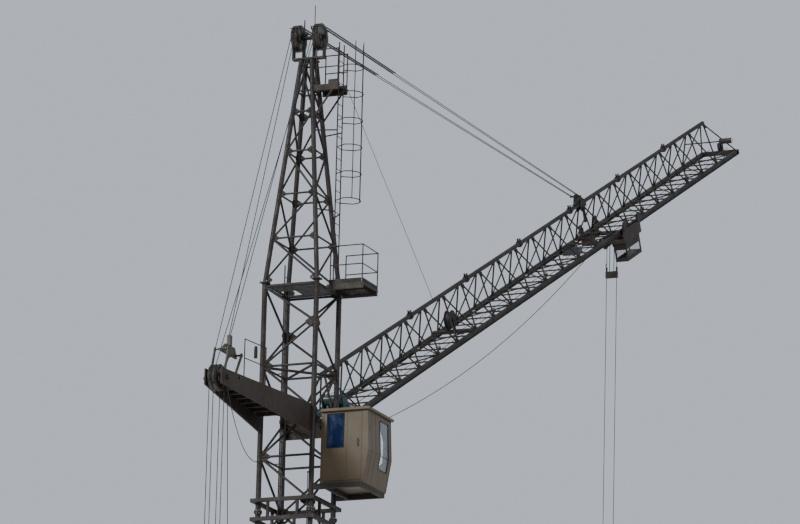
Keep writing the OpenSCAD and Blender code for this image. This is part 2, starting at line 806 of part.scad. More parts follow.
// Openings for the windows, less a margin all round
module cab_holes(m) {
  x1 = cab_x + cab_l;
  y0 = cab_y - cab_w;
  block([cab_x - 5, y0 + 700 + m, cab_z + 960 + m], [cab_x + cab_wall + 5, cab_y - 160 - m, cab_z + cab_h - 60 - m]);
  block([x1 - 760 + m, y0 - 5, cab_z + 500 + m], [x1 - 180 - m, y0 + 50 + 2 * cab_wall, cab_z + cab_h - 130 - m]);
  block([x1 - cab_wall - 5, y0 + 230 + m, cab_z + 260 + m], [x1 + 5, cab_y - 110 - m, cab_z + cab_h - 110 - m]);
}

module cab_windows() {
  x1 = cab_x + cab_l;
  y0 = cab_y - cab_w;
  color("#26384f")
    intersection() {
      cab_holes(gap);
      union() {
        block([cab_x + 10, y0, cab_z], [cab_x + 18, cab_y, cab_z + cab_h]);
        difference() {
          cab_block(cab_x + 100, x1 - 60, 10);
          cab_block(cab_x + 90, x1 - 50, 18);
        }
        block([x1 - 18, y0 + 60, cab_z], [x1 - 10, cab_y, cab_z + cab_h]);
      }
    }
}

module cab_carrier() {
  y1 = -(half_w + leg_d / 2 + gap);
  far = cab_y - cab_w + 120;
  z1 = cab_z - gap;
  color(steel_worn) {
    for (x = [tower_x - half_w, tower_x + half_w]) block([x - 50, far, z1 - 140], [x + 50, y1, z1]);
    for (y = [far, cab_y - 260]) block([tower_x - half_w, y, z1 - 130], [tower_x + half_w, y + 100, z1]);
    block([tower_x - half_w - 30, cab_y + gap, cab_z + cab_h - 330], [cab_x + 110, y1, cab_z + cab_h - 210]);
    block([tower_x + half_w - 50, cab_y + gap, cab_z + cab_h - 330], [tower_x + half_w + 30, y1, cab_z + cab_h - 210]);
  }
}

module jib_brackets() {
  x0 = tower_x + half_w + leg_d / 2 + gap;
  side = half_w + leg_d / 2;
  color(steel_worn) {
    block([x0, -side, pivot_z - 240], [x0 + 90, side, pivot_z + 200]);
    for (s = [-1, 1]) {
      for (e = [-1, 1])
        translate([0, s * jib_w / 2 + e * 75 + 15, 0])
          rotate([90, 0, 0])
            linear_extrude(30) {
              polygon([
                [x0 + 89, pivot_z - 240], [pivot_x + 40, pivot_z - 80], [pivot_x + 40, pivot_z + 80],
                [x0 + 89, pivot_z + 200]
              ]);
              translate([pivot_x, pivot_z]) circle(d = root_pin_d + 90, $fn = 48);
            }
      disc_y([pivot_x, s * jib_w / 2, pivot_z], root_pin_d, 200);
    }
  }
}

// Jib, drawn flat along X from its root pin and then raised
module raised() {
  translate([pivot_x, 0, pivot_z]) rotate([0, -jib_angle, 0]) children();
}

function top_at(i) = jib_start + i * jib_bay;
jib_end_u = top_at(jib_bays) + 1400;
lace_y = 46;
lace_foot = 40;
lamp_u = top_at(jib_bays) - 330;
lamp_w = jib_h - 580;
lug_node = top_at(13);
lug_u = top_at(12.8);
lug_w = jib_h + top_chord_d / 2 + 230;
stay_pin_d = 60;

module jib_top_chord() {
  start = top_at(-1) - 120;
  len = top_at(jib_bays) + 120 - start;
  color(steel_dark)
    raised() {
      difference() {
        along(start, jib_h, len, top_chord_d);
        along(start - 10, jib_h, len + 20, top_chord_d - 20);
      }
      for (i = [3 : 3 : jib_bays - 1])
        difference() {
          along(top_at(i + 0.36) - 30, jib_h, 60, top_chord_d + 90);
          along(top_at(i + 0.36) - 31, jib_h, 62, top_chord_d - 4);
        }
    }
}

module stay_lug() {
  foot = jib_h + top_chord_d / 2 + gap;
  under = jib_h - top_chord_d / 2 - gap;
  saddle = lug_node + 130;
  color(steel_dark)
    raised() {
      block([lug_u - 260, -62, foot], [saddle + 200, 62, foot + 20]);
      for (s = [-1, 1])
        translate([0, s * 20 + 10, 0])
          rotate([90, 0, 0])
            linear_extrude(20)
              polygon([
                [lug_u - 240, foot + 19], [saddle + 180, foot + 19], [lug_u + 110, lug_w + 60], [lug_u - 70, lug_w + 60]
              ]);
      disc_y([lug_u, 0, lug_w], stay_pin_d, 2 * (stay_pin_y + 55));
      for (s = [-1, 1])
        block([saddle, s * (top_chord_d / 2 + 8 + gap) - 8, under - 70], [saddle + 200, s * (top_chord_d / 2 + 8 + gap) + 8, foot + 20]);
      block([saddle, -top_chord_d / 2 - gap - 1, under - 70], [saddle + 200, top_chord_d / 2 + gap + 1, under]);
      block([saddle + 40, -30, under - 520], [saddle + 140, 30, under - 69]);
      disc_y([saddle + 90, 0, under - 500], 150, 40);
    }
}

// An eight-sided prism lying along the jib with its flats up and sideways
module along(u, w, len, d) {
  translate([u, 0, w]) rotate([0, 90, 0]) rotate([0, 0, 22.5]) cylinder(h = len, d = d / cos(22.5), $fn = 8);
}

module jib_side(s) {
  y = s * jib_w / 2;
  foot = lace_foot;
  color(steel_dark)
    raised()
      difference() {
        union() {
          translate([0, y, 0]) rail_section();
          difference() {
            for (i = [-1 : jib_bays]) {
              top = [top_at(i), s * lace_y, jib_h - 20];
              if (i > -1) bar([top_at(i - 0.5), y, foot], top, lace_d);
              if (i < jib_bays) bar(top, [top_at(i + 0.5), y, foot], lace_d);
            }
            block([0, -jib_w, -jib_w], [jib_end_u, jib_w, rail_h / 2 - 8]);
          }
          difference() {
            union() {
              bar([100, y, 0], [top_at(-1), s * lace_y, jib_h - 20], lace_d + 20);
              bar([top_at(jib_bays), s * lace_y, jib_h - 20], [jib_end_u - 60, y, foot], lace_d);
            }
            block([300, -jib_w, -jib_w], [jib_end_u, jib_w, rail_h / 2 - 8]);
          }
          disc_y([0, y, 0], root_pin_d + 90, 110);
        }
        along(-500, jib_h, jib_end_u + 1500, top_chord_d + 2 * gap);
        for (i = [3 : 3 : jib_bays - 1])
          along(top_at(i + 0.36) - 30 - gap, jib_h, 60 + 2 * gap, top_chord_d + 90 + 2 * gap);
        disc_y([0, y, 0], root_pin_d + 4 * pin_gap, 400);
      }
}

module rail_section() {
  tf = 13;
  tw = 9;
  translate([60, 0, 0])
    rotate([90, 0, 90])
      linear_extrude(jib_end_u - 60)
        polygon([
          [-rail_w / 2, -rail_h / 2], [rail_w / 2, -rail_h / 2], [rail_w / 2, -rail_h / 2 + tf],
          [tw / 2, -rail_h / 2 + tf], [tw / 2, rail_h / 2 - tf], [rail_w / 2, rail_h / 2 - tf],
          [rail_w / 2, rail_h / 2], [-rail_w / 2, rail_h / 2], [-rail_w / 2, rail_h / 2 - tf],
          [-tw / 2, rail_h / 2 - tf], [-tw / 2, -rail_h / 2 + tf], [-rail_w / 2, -rail_h / 2 + tf]
        ]);
}

module jib_left_side() { jib_side(1); }
module jib_right_side() { jib_side(-1); }

// Cross members and diagonals between the bottom chords
module jib_bottom_frame() {
  inner = jib_w / 2 - rail_w / 2 - gap;
  d = lace_d - 4;
  w = rail_h / 2 - d / 2;
  color(steel_worn)
    raised()
      intersection() {
        block([0, -inner, -rail_h / 2], [jib_end_u, inner, rail_h]);
        for (i = [0 : jib_bays]) {
          a = (i % 2 == 0 ? -1 : 1) * (inner + 20);
          bar([top_at(i - 0.5), -inner - 50, w], [top_at(i - 0.5), inner + 50, w], d);
          bar([top_at(i), -inner - 50, w], [top_at(i), inner + 50, w], d);
          bar([top_at(i - 0.5), a, w], [top_at(i + 0.5), -a, w], d - 4);
        }
      }
}

module jib_end() {
  top = 330;
  color(steel_dark)
    raised() {
      block([jib_end_u + gap, -jib_w / 2 - rail_w / 2, -rail_h / 2],
            [jib_end_u + 50, jib_w / 2 + rail_w / 2, rail_h / 2]);
      for (s = [-1, 1]) {
        block([jib_end_u + 49, s * (jib_w / 2 - 60) - 50, -40], [jib_end_u + 110, s * (jib_w / 2 - 60) + 50, 40]);
        translate([0, s * 70 + 10, 0])
          rotate([90, 0, 0])
            linear_extrude(20)
              polygon([
                [jib_end_u + 49, -rail_h / 2], [jib_end_u + 200, -60], [jib_end_u + 200, top - 60],
                [jib_end_u + 130, top], [jib_end_u + 49, top - 60]
              ]);
      }
      disc_y([jib_end_u + 120, 0, top - 150], 60, 170);
      sheave_y([jib_end_u + 120, 0, top - 150], 300, 70, 56);
      difference() {
        union() {
          disc_y([lamp_u, -200, lamp_w], 42, 1500);
          disc_y([lamp_u, -850, lamp_w], 180, 420);
        }
        for (s = [-1, 1]) end_braces(s, lace_d + 2 * gap);
      }
    }
}

// Last braces of one side, from the top chord's end node down to the bottom chord
module end_braces(s, d) {
  bar([top_at(jib_bays), s * lace_y, jib_h - 20], [top_at(jib_bays - 0.5), s * jib_w / 2, lace_foot], d);
  bar([top_at(jib_bays), s * lace_y, jib_h - 20], [jib_end_u - 60, s * jib_w / 2, lace_foot], d);
}

module trolley_winch() {
  w0 = rail_h / 2 + gap;
  wd = w0 + 360;
  u = top_at(-0.72);
  color(teal)
    raised() {
      for (e = [0, 390]) block([top_at(-0.92) + e, -jib_w / 2, w0], [top_at(-0.92) + e + 100, jib_w / 2, w0 + 100]);
      block([top_at(-0.92), -360, w0 + 99], [top_at(-0.92) + 660, 360, w0 + 125]);
      for (s = [-1, 1]) block([u - 120, s * 300 - 15, w0 + 124], [u + 120, s * 300 + 15, wd + 60]);
      disc_y([u, 0, wd], 280, 580);
      for (s = [-1, 1]) disc_y([u, s * 270, wd], 380, 20);
      block([u + 190, -260, w0 + 124], [u + 360, 260, w0 + 380]);
    }
}

module cable_drum() {
  w0 = rail_h / 2 + gap;
  u = top_at(5.25);
  color(steel_dark)
    raised() {
      block([u - 110, -jib_w / 2, w0], [u + 110, jib_w / 2, w0 + 90]);
      for (s = [-1, 1]) block([u - 60, s * 110 - 10, w0 + 89], [u + 60, s * 110 + 10, w0 + 440]);
      disc_y([u, 0, w0 + 400], 450, 180);
      for (s = [-1, 1]) disc_y([u, s * 82, w0 + 400], 540, 16);
      disc_y([u, 0, w0 + 400], 60, 240);
    }
}

module jib_box() {
  roof = rail_h / 2 - lace_d + 6 - gap;
  color(teal)
    raised() block([top_at(12.55), 20, roof - 200], [top_at(12.77), jib_w / 2 - 55, roof]);
}

// Trolley under the bottom chords
tread_w = -rail_h / 2 + 13;
roller_d = 100;
side_y = jib_w / 2 + rail_w / 2 + 25;
beam_w0 = -rail_h / 2 - 260;
hang_w = -rail_h / 2 - 320;
hang_pin_d = 50;
beam_u = trolley_l / 2 - 60;
fall_y = fall_gap / 2;
cheek_t = 20;
// Half the room between the two cheeks of one trolley sheave
cheek_room = 40;
trolley_tread_d = trolley_sheave_d - 104;
fall_r = (trolley_tread_d + rope_d) / 2 + gap;
// The sheaves stand so far apart that both falls hang under the trolley's middle
sheave_reach = fall_r / cos(jib_angle);

module trolley_frame() {
  wheel_u = trolley_l / 2 - 150;
  color(steel_worn)
    raised() {
      for (s = [-1, 1]) {
        block([trolley_u - trolley_l / 2, s * (side_y + 15) - 15, beam_w0],
              [trolley_u + trolley_l / 2, s * (side_y + 15) + 15, -rail_h / 2 + 125]);
        for (e = [-1, 1])
          block([trolley_u + e * wheel_u - 130, s * (side_y + 15) - 15, -1],
                [trolley_u + e * wheel_u + 130, s * (side_y + 15) + 15, rail_h / 2 + 120]);
        for (e = [-1, 1]) sheave_cheek(s * fall_y + e * (cheek_room + cheek_t / 2));
      }
      for (e = [-1, 1])
        block([trolley_u + e * beam_u - 60, -side_y - 1, beam_w0], [trolley_u + e * beam_u + 60, side_y + 1, beam_w0 + 100]);
      block([trolley_u - basket_l / 2 + 115 - 80, -side_y - 1, beam_w0],
            [trolley_u - basket_l / 2 + 115 + 80, -fall_y - cheek_room - 1, beam_w0 + 60]);
      disc_y([trolley_u, 0, hang_w], hang_pin_d, 2 * (fall_y - cheek_room - cheek_t / 2));
    }
}

// Plate along the trolley, deeper in its middle, that carries one end of the sheaves' axles
module sheave_cheek(y) {
  deep = hang_w - 150;
  translate([trolley_u, y + cheek_t / 2, 0])
    rotate([90, 0, 0])
      linear_extrude(cheek_t)
        polygon([
          [-beam_u, beam_w0 + 100], [beam_u, beam_w0 + 100], [beam_u, beam_w0], [sheave_reach + 210, beam_w0],
          [sheave_reach + 90, deep], [-sheave_reach - 90, deep], [-sheave_reach - 210, beam_w0], [-beam_u, beam_w0]
        ]);
}

module trolley_wheels() {
  y = jib_w / 2 + rail_w / 4 + 3;
  color(steel_light)
    raised()
      for (s = [-1, 1], e = [-1, 1]) {
        c = [trolley_u + e * (trolley_l / 2 - 150), 0, tread_w + roller_d / 2 + gap];
        disc_y(c + [0, s * y, 0], roller_d, 32);
        disc_y(c + [0, s * (y + side_y - gap) / 2, 0], 40, side_y - gap - y);
      }
}

// Half outline of a deep-grooved sheave of rim diameter d on a tread of diameter tread, round its own axis
module deep_groove(d, tread, bore, half) {
  g = rope_d / 2 + 3;
  polygon([
    [bore / 2, -half], [60, -half], [60, -20], [tread / 2 - 14, -20], [tread / 2 - 6, -30], [d / 2, -30],
    [d / 2, -g - 6], [tread / 2, -g], [tread / 2, g], [d / 2, g + 6], [d / 2, 30],
    [tread / 2 - 6, 30], [tread / 2 - 14, 20], [60, 20], [60, half], [bore / 2, half]
  ]);
}

module trolley_sheaves() {
  color(steel_light)
    raised()
      for (e = [-1, 1])
        translate([trolley_u + e * sheave_reach, -e * fall_y, hang_w])
          rotate([90, 0, 0])
            rotate_extrude($fn = 48) deep_groove(trolley_sheave_d, trolley_tread_d, 0, cheek_room - gap);
}

module basket() {
  x0 = trolley_u - basket_l / 2 + 115;
  x1 = x0 + basket_l;
  y1 = -(fall_y + cheek_room + cheek_t + 5);
  y0 = y1 - basket_w;
  low = -basket_h;
  t = 40;
  sheet = 6;
  color(steel_dark)
    raised() {
      block([x0, y0, low], [x1, y1, low + 30]);
      for (x = [x0, x1 - t], y = [y0, y1 - t]) block([x, y, low], [x + t, y + t, beam_w0 - gap]);
      for (band = [[0, 110], [370, 600]]) {
        for (y = [y0, y1 - sheet]) block([x0 + 1, y, low + band[0]], [x1 - 1, y + sheet, low + band[1]]);
        for (x = [x0, x1 - sheet]) block([x, y0 + 1, low + band[0]], [x + sheet, y1 - 1, low + band[1]]);
      }
      for (y = [y0, y1 - t]) block([x0, y, low + 600 - t], [x1, y + t, low + 600]);
    }
}

// Hanging pieces stay upright under the trolley's middle pin
hang = [
  pivot_x + trolley_u * cos(jib_angle) - hang_w * sin(jib_angle),
  0,
  pivot_z + trolley_u * sin(jib_angle) + hang_w * cos(jib_angle)
];
weight_low = -1175;

module limit_weight() {
  top = weight_low + 195;
  arm = 21;
  color(steel_dark)
    difference() {
      union() {
        block(hang + [-60, -fall_y - arm, weight_low], hang + [60, fall_y + arm, top]);
        for (s = [-1, 1]) {
          block(hang + [-30, s * fall_y - arm, top - 1], hang + [30, s * fall_y + arm, top + 140]);
          block(hang + [-20, s * 70 - 5, top - 1], hang + [20, s * 70 + 5, 0]);
          disc_y(hang + [0, s * 70, 0], hang_pin_d + 50, 10);
        }
      }
      disc_y(hang, hang_pin_d + 2 * pin_gap, 200);
      for (s = [-1, 1])
        translate(hang + [0, s * fall_y, weight_low - 1]) cylinder(h = 500, d = rope_d + 2 * gap, $fn = 24);
    }
}

// Each fall from its trolley sheave down through the weight
module upper_falls() {
  foot = weight_low + gap;
  color(rope_grey)
    for (s = [-1, 1])
      translate(hang + [0, s * fall_y, foot])
        cylinder(h = -foot - s * sheave_reach * sin(jib_angle), d = rope_d, $fn = 8);
}

module hoist_ropes() {
  color(rope_grey)
    for (s = [-1, 1])
      translate(hang + [0, s * fall_y, -hoist_drop]) cylinder(h = hoist_drop + weight_low, d = rope_d, $fn = 8);
}

// Hook block with one sheave, as wide as the two falls, between cheek plates
block_z = hang.z - hoist_drop;
block_tread_d = fall_gap - rope_d - 2 * gap;
block_pin_d = 70;

module hook_block() {
  color(steel_worn) {
    for (s = [-1, 1])
      translate([hang.x + s * 54 - 8, 0, block_z])
        rotate([90, 0, 90])
          linear_extrude(16)
            polygon([[-190, -50], [-120, 110], [120, 110], [190, -50], [140, -430], [-140, -430]]);
    block([hang.x - 47, -120, block_z - 430], [hang.x + 47, 120, block_z - 300]);
    translate([hang.x - 75, 0, block_z]) rotate([0, 90, 0]) cylinder(h = 150, d = block_pin_d, $fn = 48);
  }
}

module block_sheaves() {
  color(steel_light)
    translate([hang.x, 0, block_z])
      rotate([0, 90, 0])
        rotate_extrude($fn = 48)
          deep_groove(block_tread_d + 60, block_tread_d, block_pin_d + 2 * pin_gap, 45);
}

module hook() {
  r = 125;
  t = 84;
  zc = block_z - 430 - gap - 120 - r;
  color(steel_light) {
    translate([hang.x, 0, zc + r - 10]) cylinder(h = 130 - gap, d = 80, $fn = 32);
    translate([hang.x, 0, block_z - 430 - gap - 60]) cylinder(h = 60, d = 150, $fn = 32);
    translate([hang.x, 0, zc])
      rotate([90, 0, 0])
        rotate([0, 0, -185])
          rotate_extrude(angle = 275, $fn = 40) translate([r, 0]) circle(d = t, $fn = 10);
    translate([hang.x, 0, zc])
      rotate([90, 0, 0])
        rotate([0, 0, -185])
          translate([r, 0, 0]) rotate([90, 0, 0]) cylinder(h = 60, d1 = t, d2 = 40, $fn = 10);
  }
}

// Jib stays: the upper parts lie over the head sheaves, the lower parts slide along them
stay_pin = [
  pivot_x + lug_u * cos(jib_angle) - lug_w * sin(jib_angle),
  0,
  pivot_z + lug_u * sin(jib_angle) + lug_w * cos(jib_angle)
];
stay_run = [stay_pin.x - tower_x, stay_pin.z - head_axis_z];
over_r = rope_at(head_sheave_d, 80);
stay_r = over_r - rope_d - 3;
stay_angle = atan2(stay_run.y, stay_run.x) - asin(stay_r / norm(stay_run));
stay_len = sqrt(stay_run * stay_run - stay_r * stay_r);
stay_y = head_sheave_gap / 2;
stay_pin_y = 120;
stay_upper = 5300;

// Point on rope e of the pair on side s, at distance t along it and radius r over the head sheaves' axle
function stay_at(s, e, t, r) = [
  tower_x + t * cos(stay_angle) - r * sin(stay_angle),
  s * (stay_y + e * 46 + (stay_pin_y + e * 22 - stay_y - e * 46) * t / stay_len),
  head_axis_z + t * sin(stay_angle) + r * cos(stay_angle)
];

module stay_heads() {
  color(rope_grey)
    for (s = [-1, 1], e = [-1, 1]) bar(stay_at(s, e, 0, over_r), stay_at(s, e, stay_upper, over_r), rope_d, 8);
}

module lower_stay(s) {
  color(rope_grey)
    for (e = [-1, 1]) bar(stay_at(s, e, 260, stay_r), stay_at(s, e, stay_len - stay_pin_d / 2 - 6, stay_r), rope_d, 8);
}

module stay_left() { lower_stay(1); }
module stay_right() { lower_stay(-1); }

ring_frame();
corner_arms();
bogie_frames();
travel_wheels();
bearing_ring();
turning_ring();
platform_beams();
platform_deck();
ballast_blocks();
hoist_winch();
luffing_winch();
tower_right();
tower_front();
tower_left();
tower_rear();
tower_frames();
tower_ladder();
inner_platform();
mid_platform();
head_right();
head_front();
head_left();
head_rear();
sheave_frame();
head_sheaves();
head_platform();
head_ladder();
ladder_hoops();
lightning_rod();
spacer_frame();
spacer_sheaves();
equalizer();
rear_ropes();
spacer_rail();
cab_shell();
cab_windows();
cab_carrier();
jib_brackets();
jib_top_chord();
stay_lug();
jib_left_side();
jib_right_side();
jib_bottom_frame();
jib_end();
trolley_winch();
cable_drum();
jib_box();
trolley_frame();
trolley_wheels();
trolley_sheaves();
basket();
limit_weight();
upper_falls();
hoist_ropes();
hook_block();
block_sheaves();
hook();
stay_heads();
stay_left();
stay_right();
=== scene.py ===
"""Finishes, fine pieces, lights and camera for a rail-mounted tower crane with a raised trolley jib."""

import json
import math
import random

import bmesh
import bpy
from bpy.props import FloatProperty, FloatVectorProperty, IntProperty, PointerProperty
from bpy.types import Operator, Panel, PropertyGroup
from mathutils import Matrix, Vector


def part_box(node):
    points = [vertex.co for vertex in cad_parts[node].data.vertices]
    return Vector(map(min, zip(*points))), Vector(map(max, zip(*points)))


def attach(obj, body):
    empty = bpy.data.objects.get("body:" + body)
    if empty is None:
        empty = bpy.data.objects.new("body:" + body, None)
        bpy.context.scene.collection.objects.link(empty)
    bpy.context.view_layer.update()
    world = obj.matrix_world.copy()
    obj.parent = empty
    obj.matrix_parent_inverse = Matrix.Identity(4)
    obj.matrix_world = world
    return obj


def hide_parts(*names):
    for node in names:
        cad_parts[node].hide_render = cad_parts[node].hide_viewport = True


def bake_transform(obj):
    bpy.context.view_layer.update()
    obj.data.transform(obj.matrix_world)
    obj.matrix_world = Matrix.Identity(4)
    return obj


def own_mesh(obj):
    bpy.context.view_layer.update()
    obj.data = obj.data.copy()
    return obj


bl_info = {
    "name": "Tower crane dressing",
    "version": (1, 0, 0),
    "blender": (4, 5, 0),
    "location": "View3D > Sidebar > Crane",
    "description": "Finishes and fine pieces for a tower crane with a raised trolley jib",
    "category": "Object",
}

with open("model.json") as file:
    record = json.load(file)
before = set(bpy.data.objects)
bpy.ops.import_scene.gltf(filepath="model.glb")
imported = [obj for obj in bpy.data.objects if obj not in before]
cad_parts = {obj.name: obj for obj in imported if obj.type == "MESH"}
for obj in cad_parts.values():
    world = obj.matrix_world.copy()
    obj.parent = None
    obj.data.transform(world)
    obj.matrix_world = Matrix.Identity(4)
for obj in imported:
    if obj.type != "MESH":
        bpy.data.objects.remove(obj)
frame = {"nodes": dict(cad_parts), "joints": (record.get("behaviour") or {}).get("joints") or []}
JOINTS = {joint["name"]: joint for joint in frame["joints"]}
PIVOT = Vector(JOINTS["jib_luff"]["pos_m"])
HANG = Vector(JOINTS["hanger_level"]["pos_m"])
HEAD_AXLE = Vector(JOINTS["stay_swing"]["pos_m"])
ALONG_JIB = Vector(JOINTS["trolley_travel"]["axis"]).normalized()
OFF_JIB = Vector((-ALONG_JIB.z, 0, ALONG_JIB.x))
AHEAD, LEFT, UP = Vector((1, 0, 0)), Vector((0, 1, 0)), Vector((0, 0, 1))
BOTH = (-1, 1)
# Turns a point given along the jib, to its left and off its bottom chords into a point of the crane
JIB = Matrix.Translation(PIVOT) @ Matrix((ALONG_JIB, LEFT, OFF_JIB)).transposed().to_4x4()
FROM_JIB = JIB.inverted()
UPRIGHT = Matrix.Identity(4)
UNIT_WORDS = dict(subtype="DISTANCE", unit="LENGTH")


def linear(code):
    """Turns an sRGB hex colour into the linear colour that the shaders take."""
    parts = [int(code[i:i + 2], 16) / 255 for i in (1, 3, 5)]
    return tuple(c / 12.92 if c <= 0.04045 else ((c + 0.055) / 1.055) ** 2.4 for c in parts)


def colour(name, code, text):
    """A colour that a user would change."""
    return FloatVectorProperty(name=name, description=text, subtype="COLOR", size=3, min=0, max=1,
                               default=linear(code))


def size(name, value, text):
    """A length that a user would change, in metres."""
    return FloatProperty(name=name, description=text, default=value, min=0.001, **UNIT_WORDS)


class CraneColours(PropertyGroup):
    dark_enamel: colour("Dark enamel", "#1f1810", "Brown enamel of the lattices")
    worn_enamel: colour("Worn enamel", "#291f15", "Faded brown enamel of beams and platforms")
    rust: colour("Rust", "#4f3420", "Rust that shows through the enamel")
    soot: colour("Soot", "#1b1713", "Grease and soot in the corners")
    bare_steel: colour("Bare steel", "#5b554b", "Turned and worn steel of wheels and sheaves")
    teal_enamel: colour("Teal enamel", "#1c3634", "Enamel of the winches")
    khaki_enamel: colour("Khaki enamel", "#322b1b", "Enamel of the equalizer")
    beige_enamel: colour("Beige enamel", "#45371d", "Enamel of the cab")
    rope_steel: colour("Rope steel", "#35373b", "Greased steel wire")
    concrete: colour("Concrete", "#b3aea4", "Cast ballast")
    tinted_pane: colour("Tinted pane", "#182d55", "Dark blue glass of the cab")
    clear_pane: colour("Clear pane", "#c9d6d8", "Pale glass of the cab's side")
    zinc: colour("Zinc", "#8d8b86", "Galvanised bolts")
    rubber: colour("Rubber", "#1b1b1c", "Window gaskets and cables")
    vinyl: colour("Vinyl", "#30302f", "Covering of the seat")
    lamp: colour("Lamp glass", "#e9dfc4", "Lenses of the work lamps")
    floor: colour("Floor", "#dfe1e2", "Painted studio floor")
    sky: colour("Studio wall", "#c3cbd6", "Even light from all round")


class CraneSizes(PropertyGroup):
    tower_w: size("Tower width", 1.5, "Width of the tower between leg centres")
    leg_d: size("Leg diameter", 0.132, "Diameter of a tower leg")
    bay_h: size("Bay height", 2.45, "Height of a whole bay of the tower")
    bays: IntProperty(name="Tower bays", description="Whole bays below the jib root's level", default=7,
                      min=1)
    top_bay_h: size("Top bay", 2.27, "Height of the bay under the head")
    head_h: size("Head height", 6.3, "Height of the head's legs")
    head_top_w: size("Head top", 0.3, "Width of the head where its legs end")
    rope_d: size("Rope diameter", 0.022, "Diameter of the ropes")
    jib_bay: size("Jib bay", 1.53, "Distance between two nodes of the top chord")
    jib_start: size("Jib start", 2.74, "Distance from the root pins to the first node")
    jib_bays: IntProperty(name="Jib bays", description="Whole bays along the top chord", default=21, min=1)
    jib_h: size("Jib height", 1.28, "Height of the top chord above the bottom chords")
    jib_w: size("Jib width", 1.2, "Distance between the bottom chords")
    plate_t: size("Gusset thickness", 0.012, "Thickness of the node plates")
    bolt: size("Bolt head", 0.034, "Width across the flats of a bolt head")
    camera_x: FloatProperty(name="Camera X", description="Place of the camera", default=-125.33, **UNIT_WORDS)
    camera_y: FloatProperty(name="Camera Y", description="Place of the camera", default=-56.23, **UNIT_WORDS)
    camera_z: FloatProperty(name="Camera Z", description="Place of the camera", default=-14.26, **UNIT_WORDS)
    lens: FloatProperty(name="Lens", description="Focal length of the camera", default=242.4, min=1,
                        subtype="DISTANCE_CAMERA", unit="CAMERA")


def sizes():
    return bpy.context.scene.crane_sizes


def colours():
    return bpy.context.scene.crane_colours


# Levels and places of the frame that the pieces start from, in metres
TOWER_X = HEAD_AXLE.x
DECK_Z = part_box("tower_right")[0].z
DECK_HALF = 1.3                     # half the deck's width
HEAD_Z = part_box("head_right")[0].z
HEAD_FLOOR = HEAD_Z + 5.47          # walking surface of the head platform
ROOT_Z = PIVOT.z + 1.4              # tower node level with the jib's root
CAB_H = 1.95
CAB_TOP = ROOT_Z - 1.32
CAB_LOW, CAB_HIGH = Vector((0.76, -2.306, CAB_TOP - CAB_H)), Vector((2.32, -0.946, CAB_TOP))
CAB_BEND = CAB_LOW.z + 0.45 * CAB_H  # where the outer wall of the cab bends
TAIL_AXLE = Vector((TOWER_X - 5.2, 0, ROOT_Z - 1.38))
# Diameter of each kind of sheave, and the width of its groove
HEAD_GROOVE, TAIL_GROOVE, GUIDE_GROOVE = (0.74, 0.08), (0.7, 0.1), (0.42, 0.08)
FALL_Y, FALL_R = 0.165, 0.1693      # a fall's place across the trolley, and its radius round a sheave there
BOGIE, WHEEL_Z = 2.8, 0.275         # a bogie's centre from the slewing axis, and its axles' height
CABLE_D = 0.022
TROLLEY_U, HANG_W = (FROM_JIB @ HANG).x, (FROM_JIB @ HANG).z
JIB_END = max((FROM_JIB @ v.co).x for v in frame["nodes"]["jib_left_side"].data.vertices)
CHORD_Y, CHORD_W = 0.046, 1.26      # where the jib's braces meet its top chord
LEG_SIDES = [(-1, -1), (1, -1), (1, 1), (-1, 1)]


def top_at(i):
    """Distance along the jib of node i of the top chord."""
    return sizes().jib_start + i * sizes().jib_bay


def on_jib(u, y, w):
    return JIB @ Vector((u, y, w))


def leg_at(k, z):
    """Centre of leg k of the tower or of the head at height z."""
    s = sizes()
    w = s.tower_w
    if z > HEAD_Z:
        w -= (s.tower_w - s.head_top_w) * (z - HEAD_Z) / s.head_h
    return Vector((TOWER_X + LEG_SIDES[k % 4][0] * w / 2, LEG_SIDES[k % 4][1] * w / 2, z))


# ---- mesh work: each function adds one form to a bmesh ----

def skin(bm, loops, ends=True):
    """Skins a row of equal loops of points, and closes both ends."""
    made = [[bm.verts.new(p) for p in loop] for loop in loops]
    n = len(loops[0])
    for a, b in zip(made, made[1:]):
        for i in range(n):
            bm.faces.new((a[i], a[(i + 1) % n], b[(i + 1) % n], b[i]))
    if ends:
        bm.faces.new(made[0][::-1])
        bm.faces.new(made[-1])


def across(direction):
    """Two directions square to the one given and to each other."""
    side = direction.cross(UP if abs(direction.z) < 0.9 else AHEAD).normalized()
    return side, direction.cross(side).normalized()


def ring(centre, side, up, radius, n, phase=0.0):
    """Points spread evenly round a circle; phase turns them by a share of their spacing."""
    angles = (math.tau * (i + phase) / n for i in range(n))
    return [centre + side * radius * math.cos(a) + up * radius * math.sin(a) for a in angles]


def turned(bm, start, axis, profile, n=16):
    """A turned form: profile gives distance along the axis and radius."""
    axis = axis.normalized()
    side, up = across(axis)
    skin(bm, [ring(start + axis * along, side, up, radius, n) for along, radius in profile])


def rod(bm, a, b, radius, n=8):
    turned(bm, a, b - a, [(0, radius), ((b - a).length, radius)], n)


def sweep(bm, points, radius, n=8, closed=False):
    """A tube along a row of points, with its rings turned as little as possible."""
    count = len(points)
    loops = []
    side = None
    for i, p in enumerate(points):
        before = points[(i - 1) % count] if closed or i else p
        after = points[(i + 1) % count] if closed or i < count - 1 else p
        along = (after - before).normalized()
        side = across(along)[0] if side is None else (side - along * side.dot(along)).normalized()
        loops.append(ring(p, side, along.cross(side), radius, n))
    if closed:
        loops.append(loops[0])
    skin(bm, loops, ends=not closed)


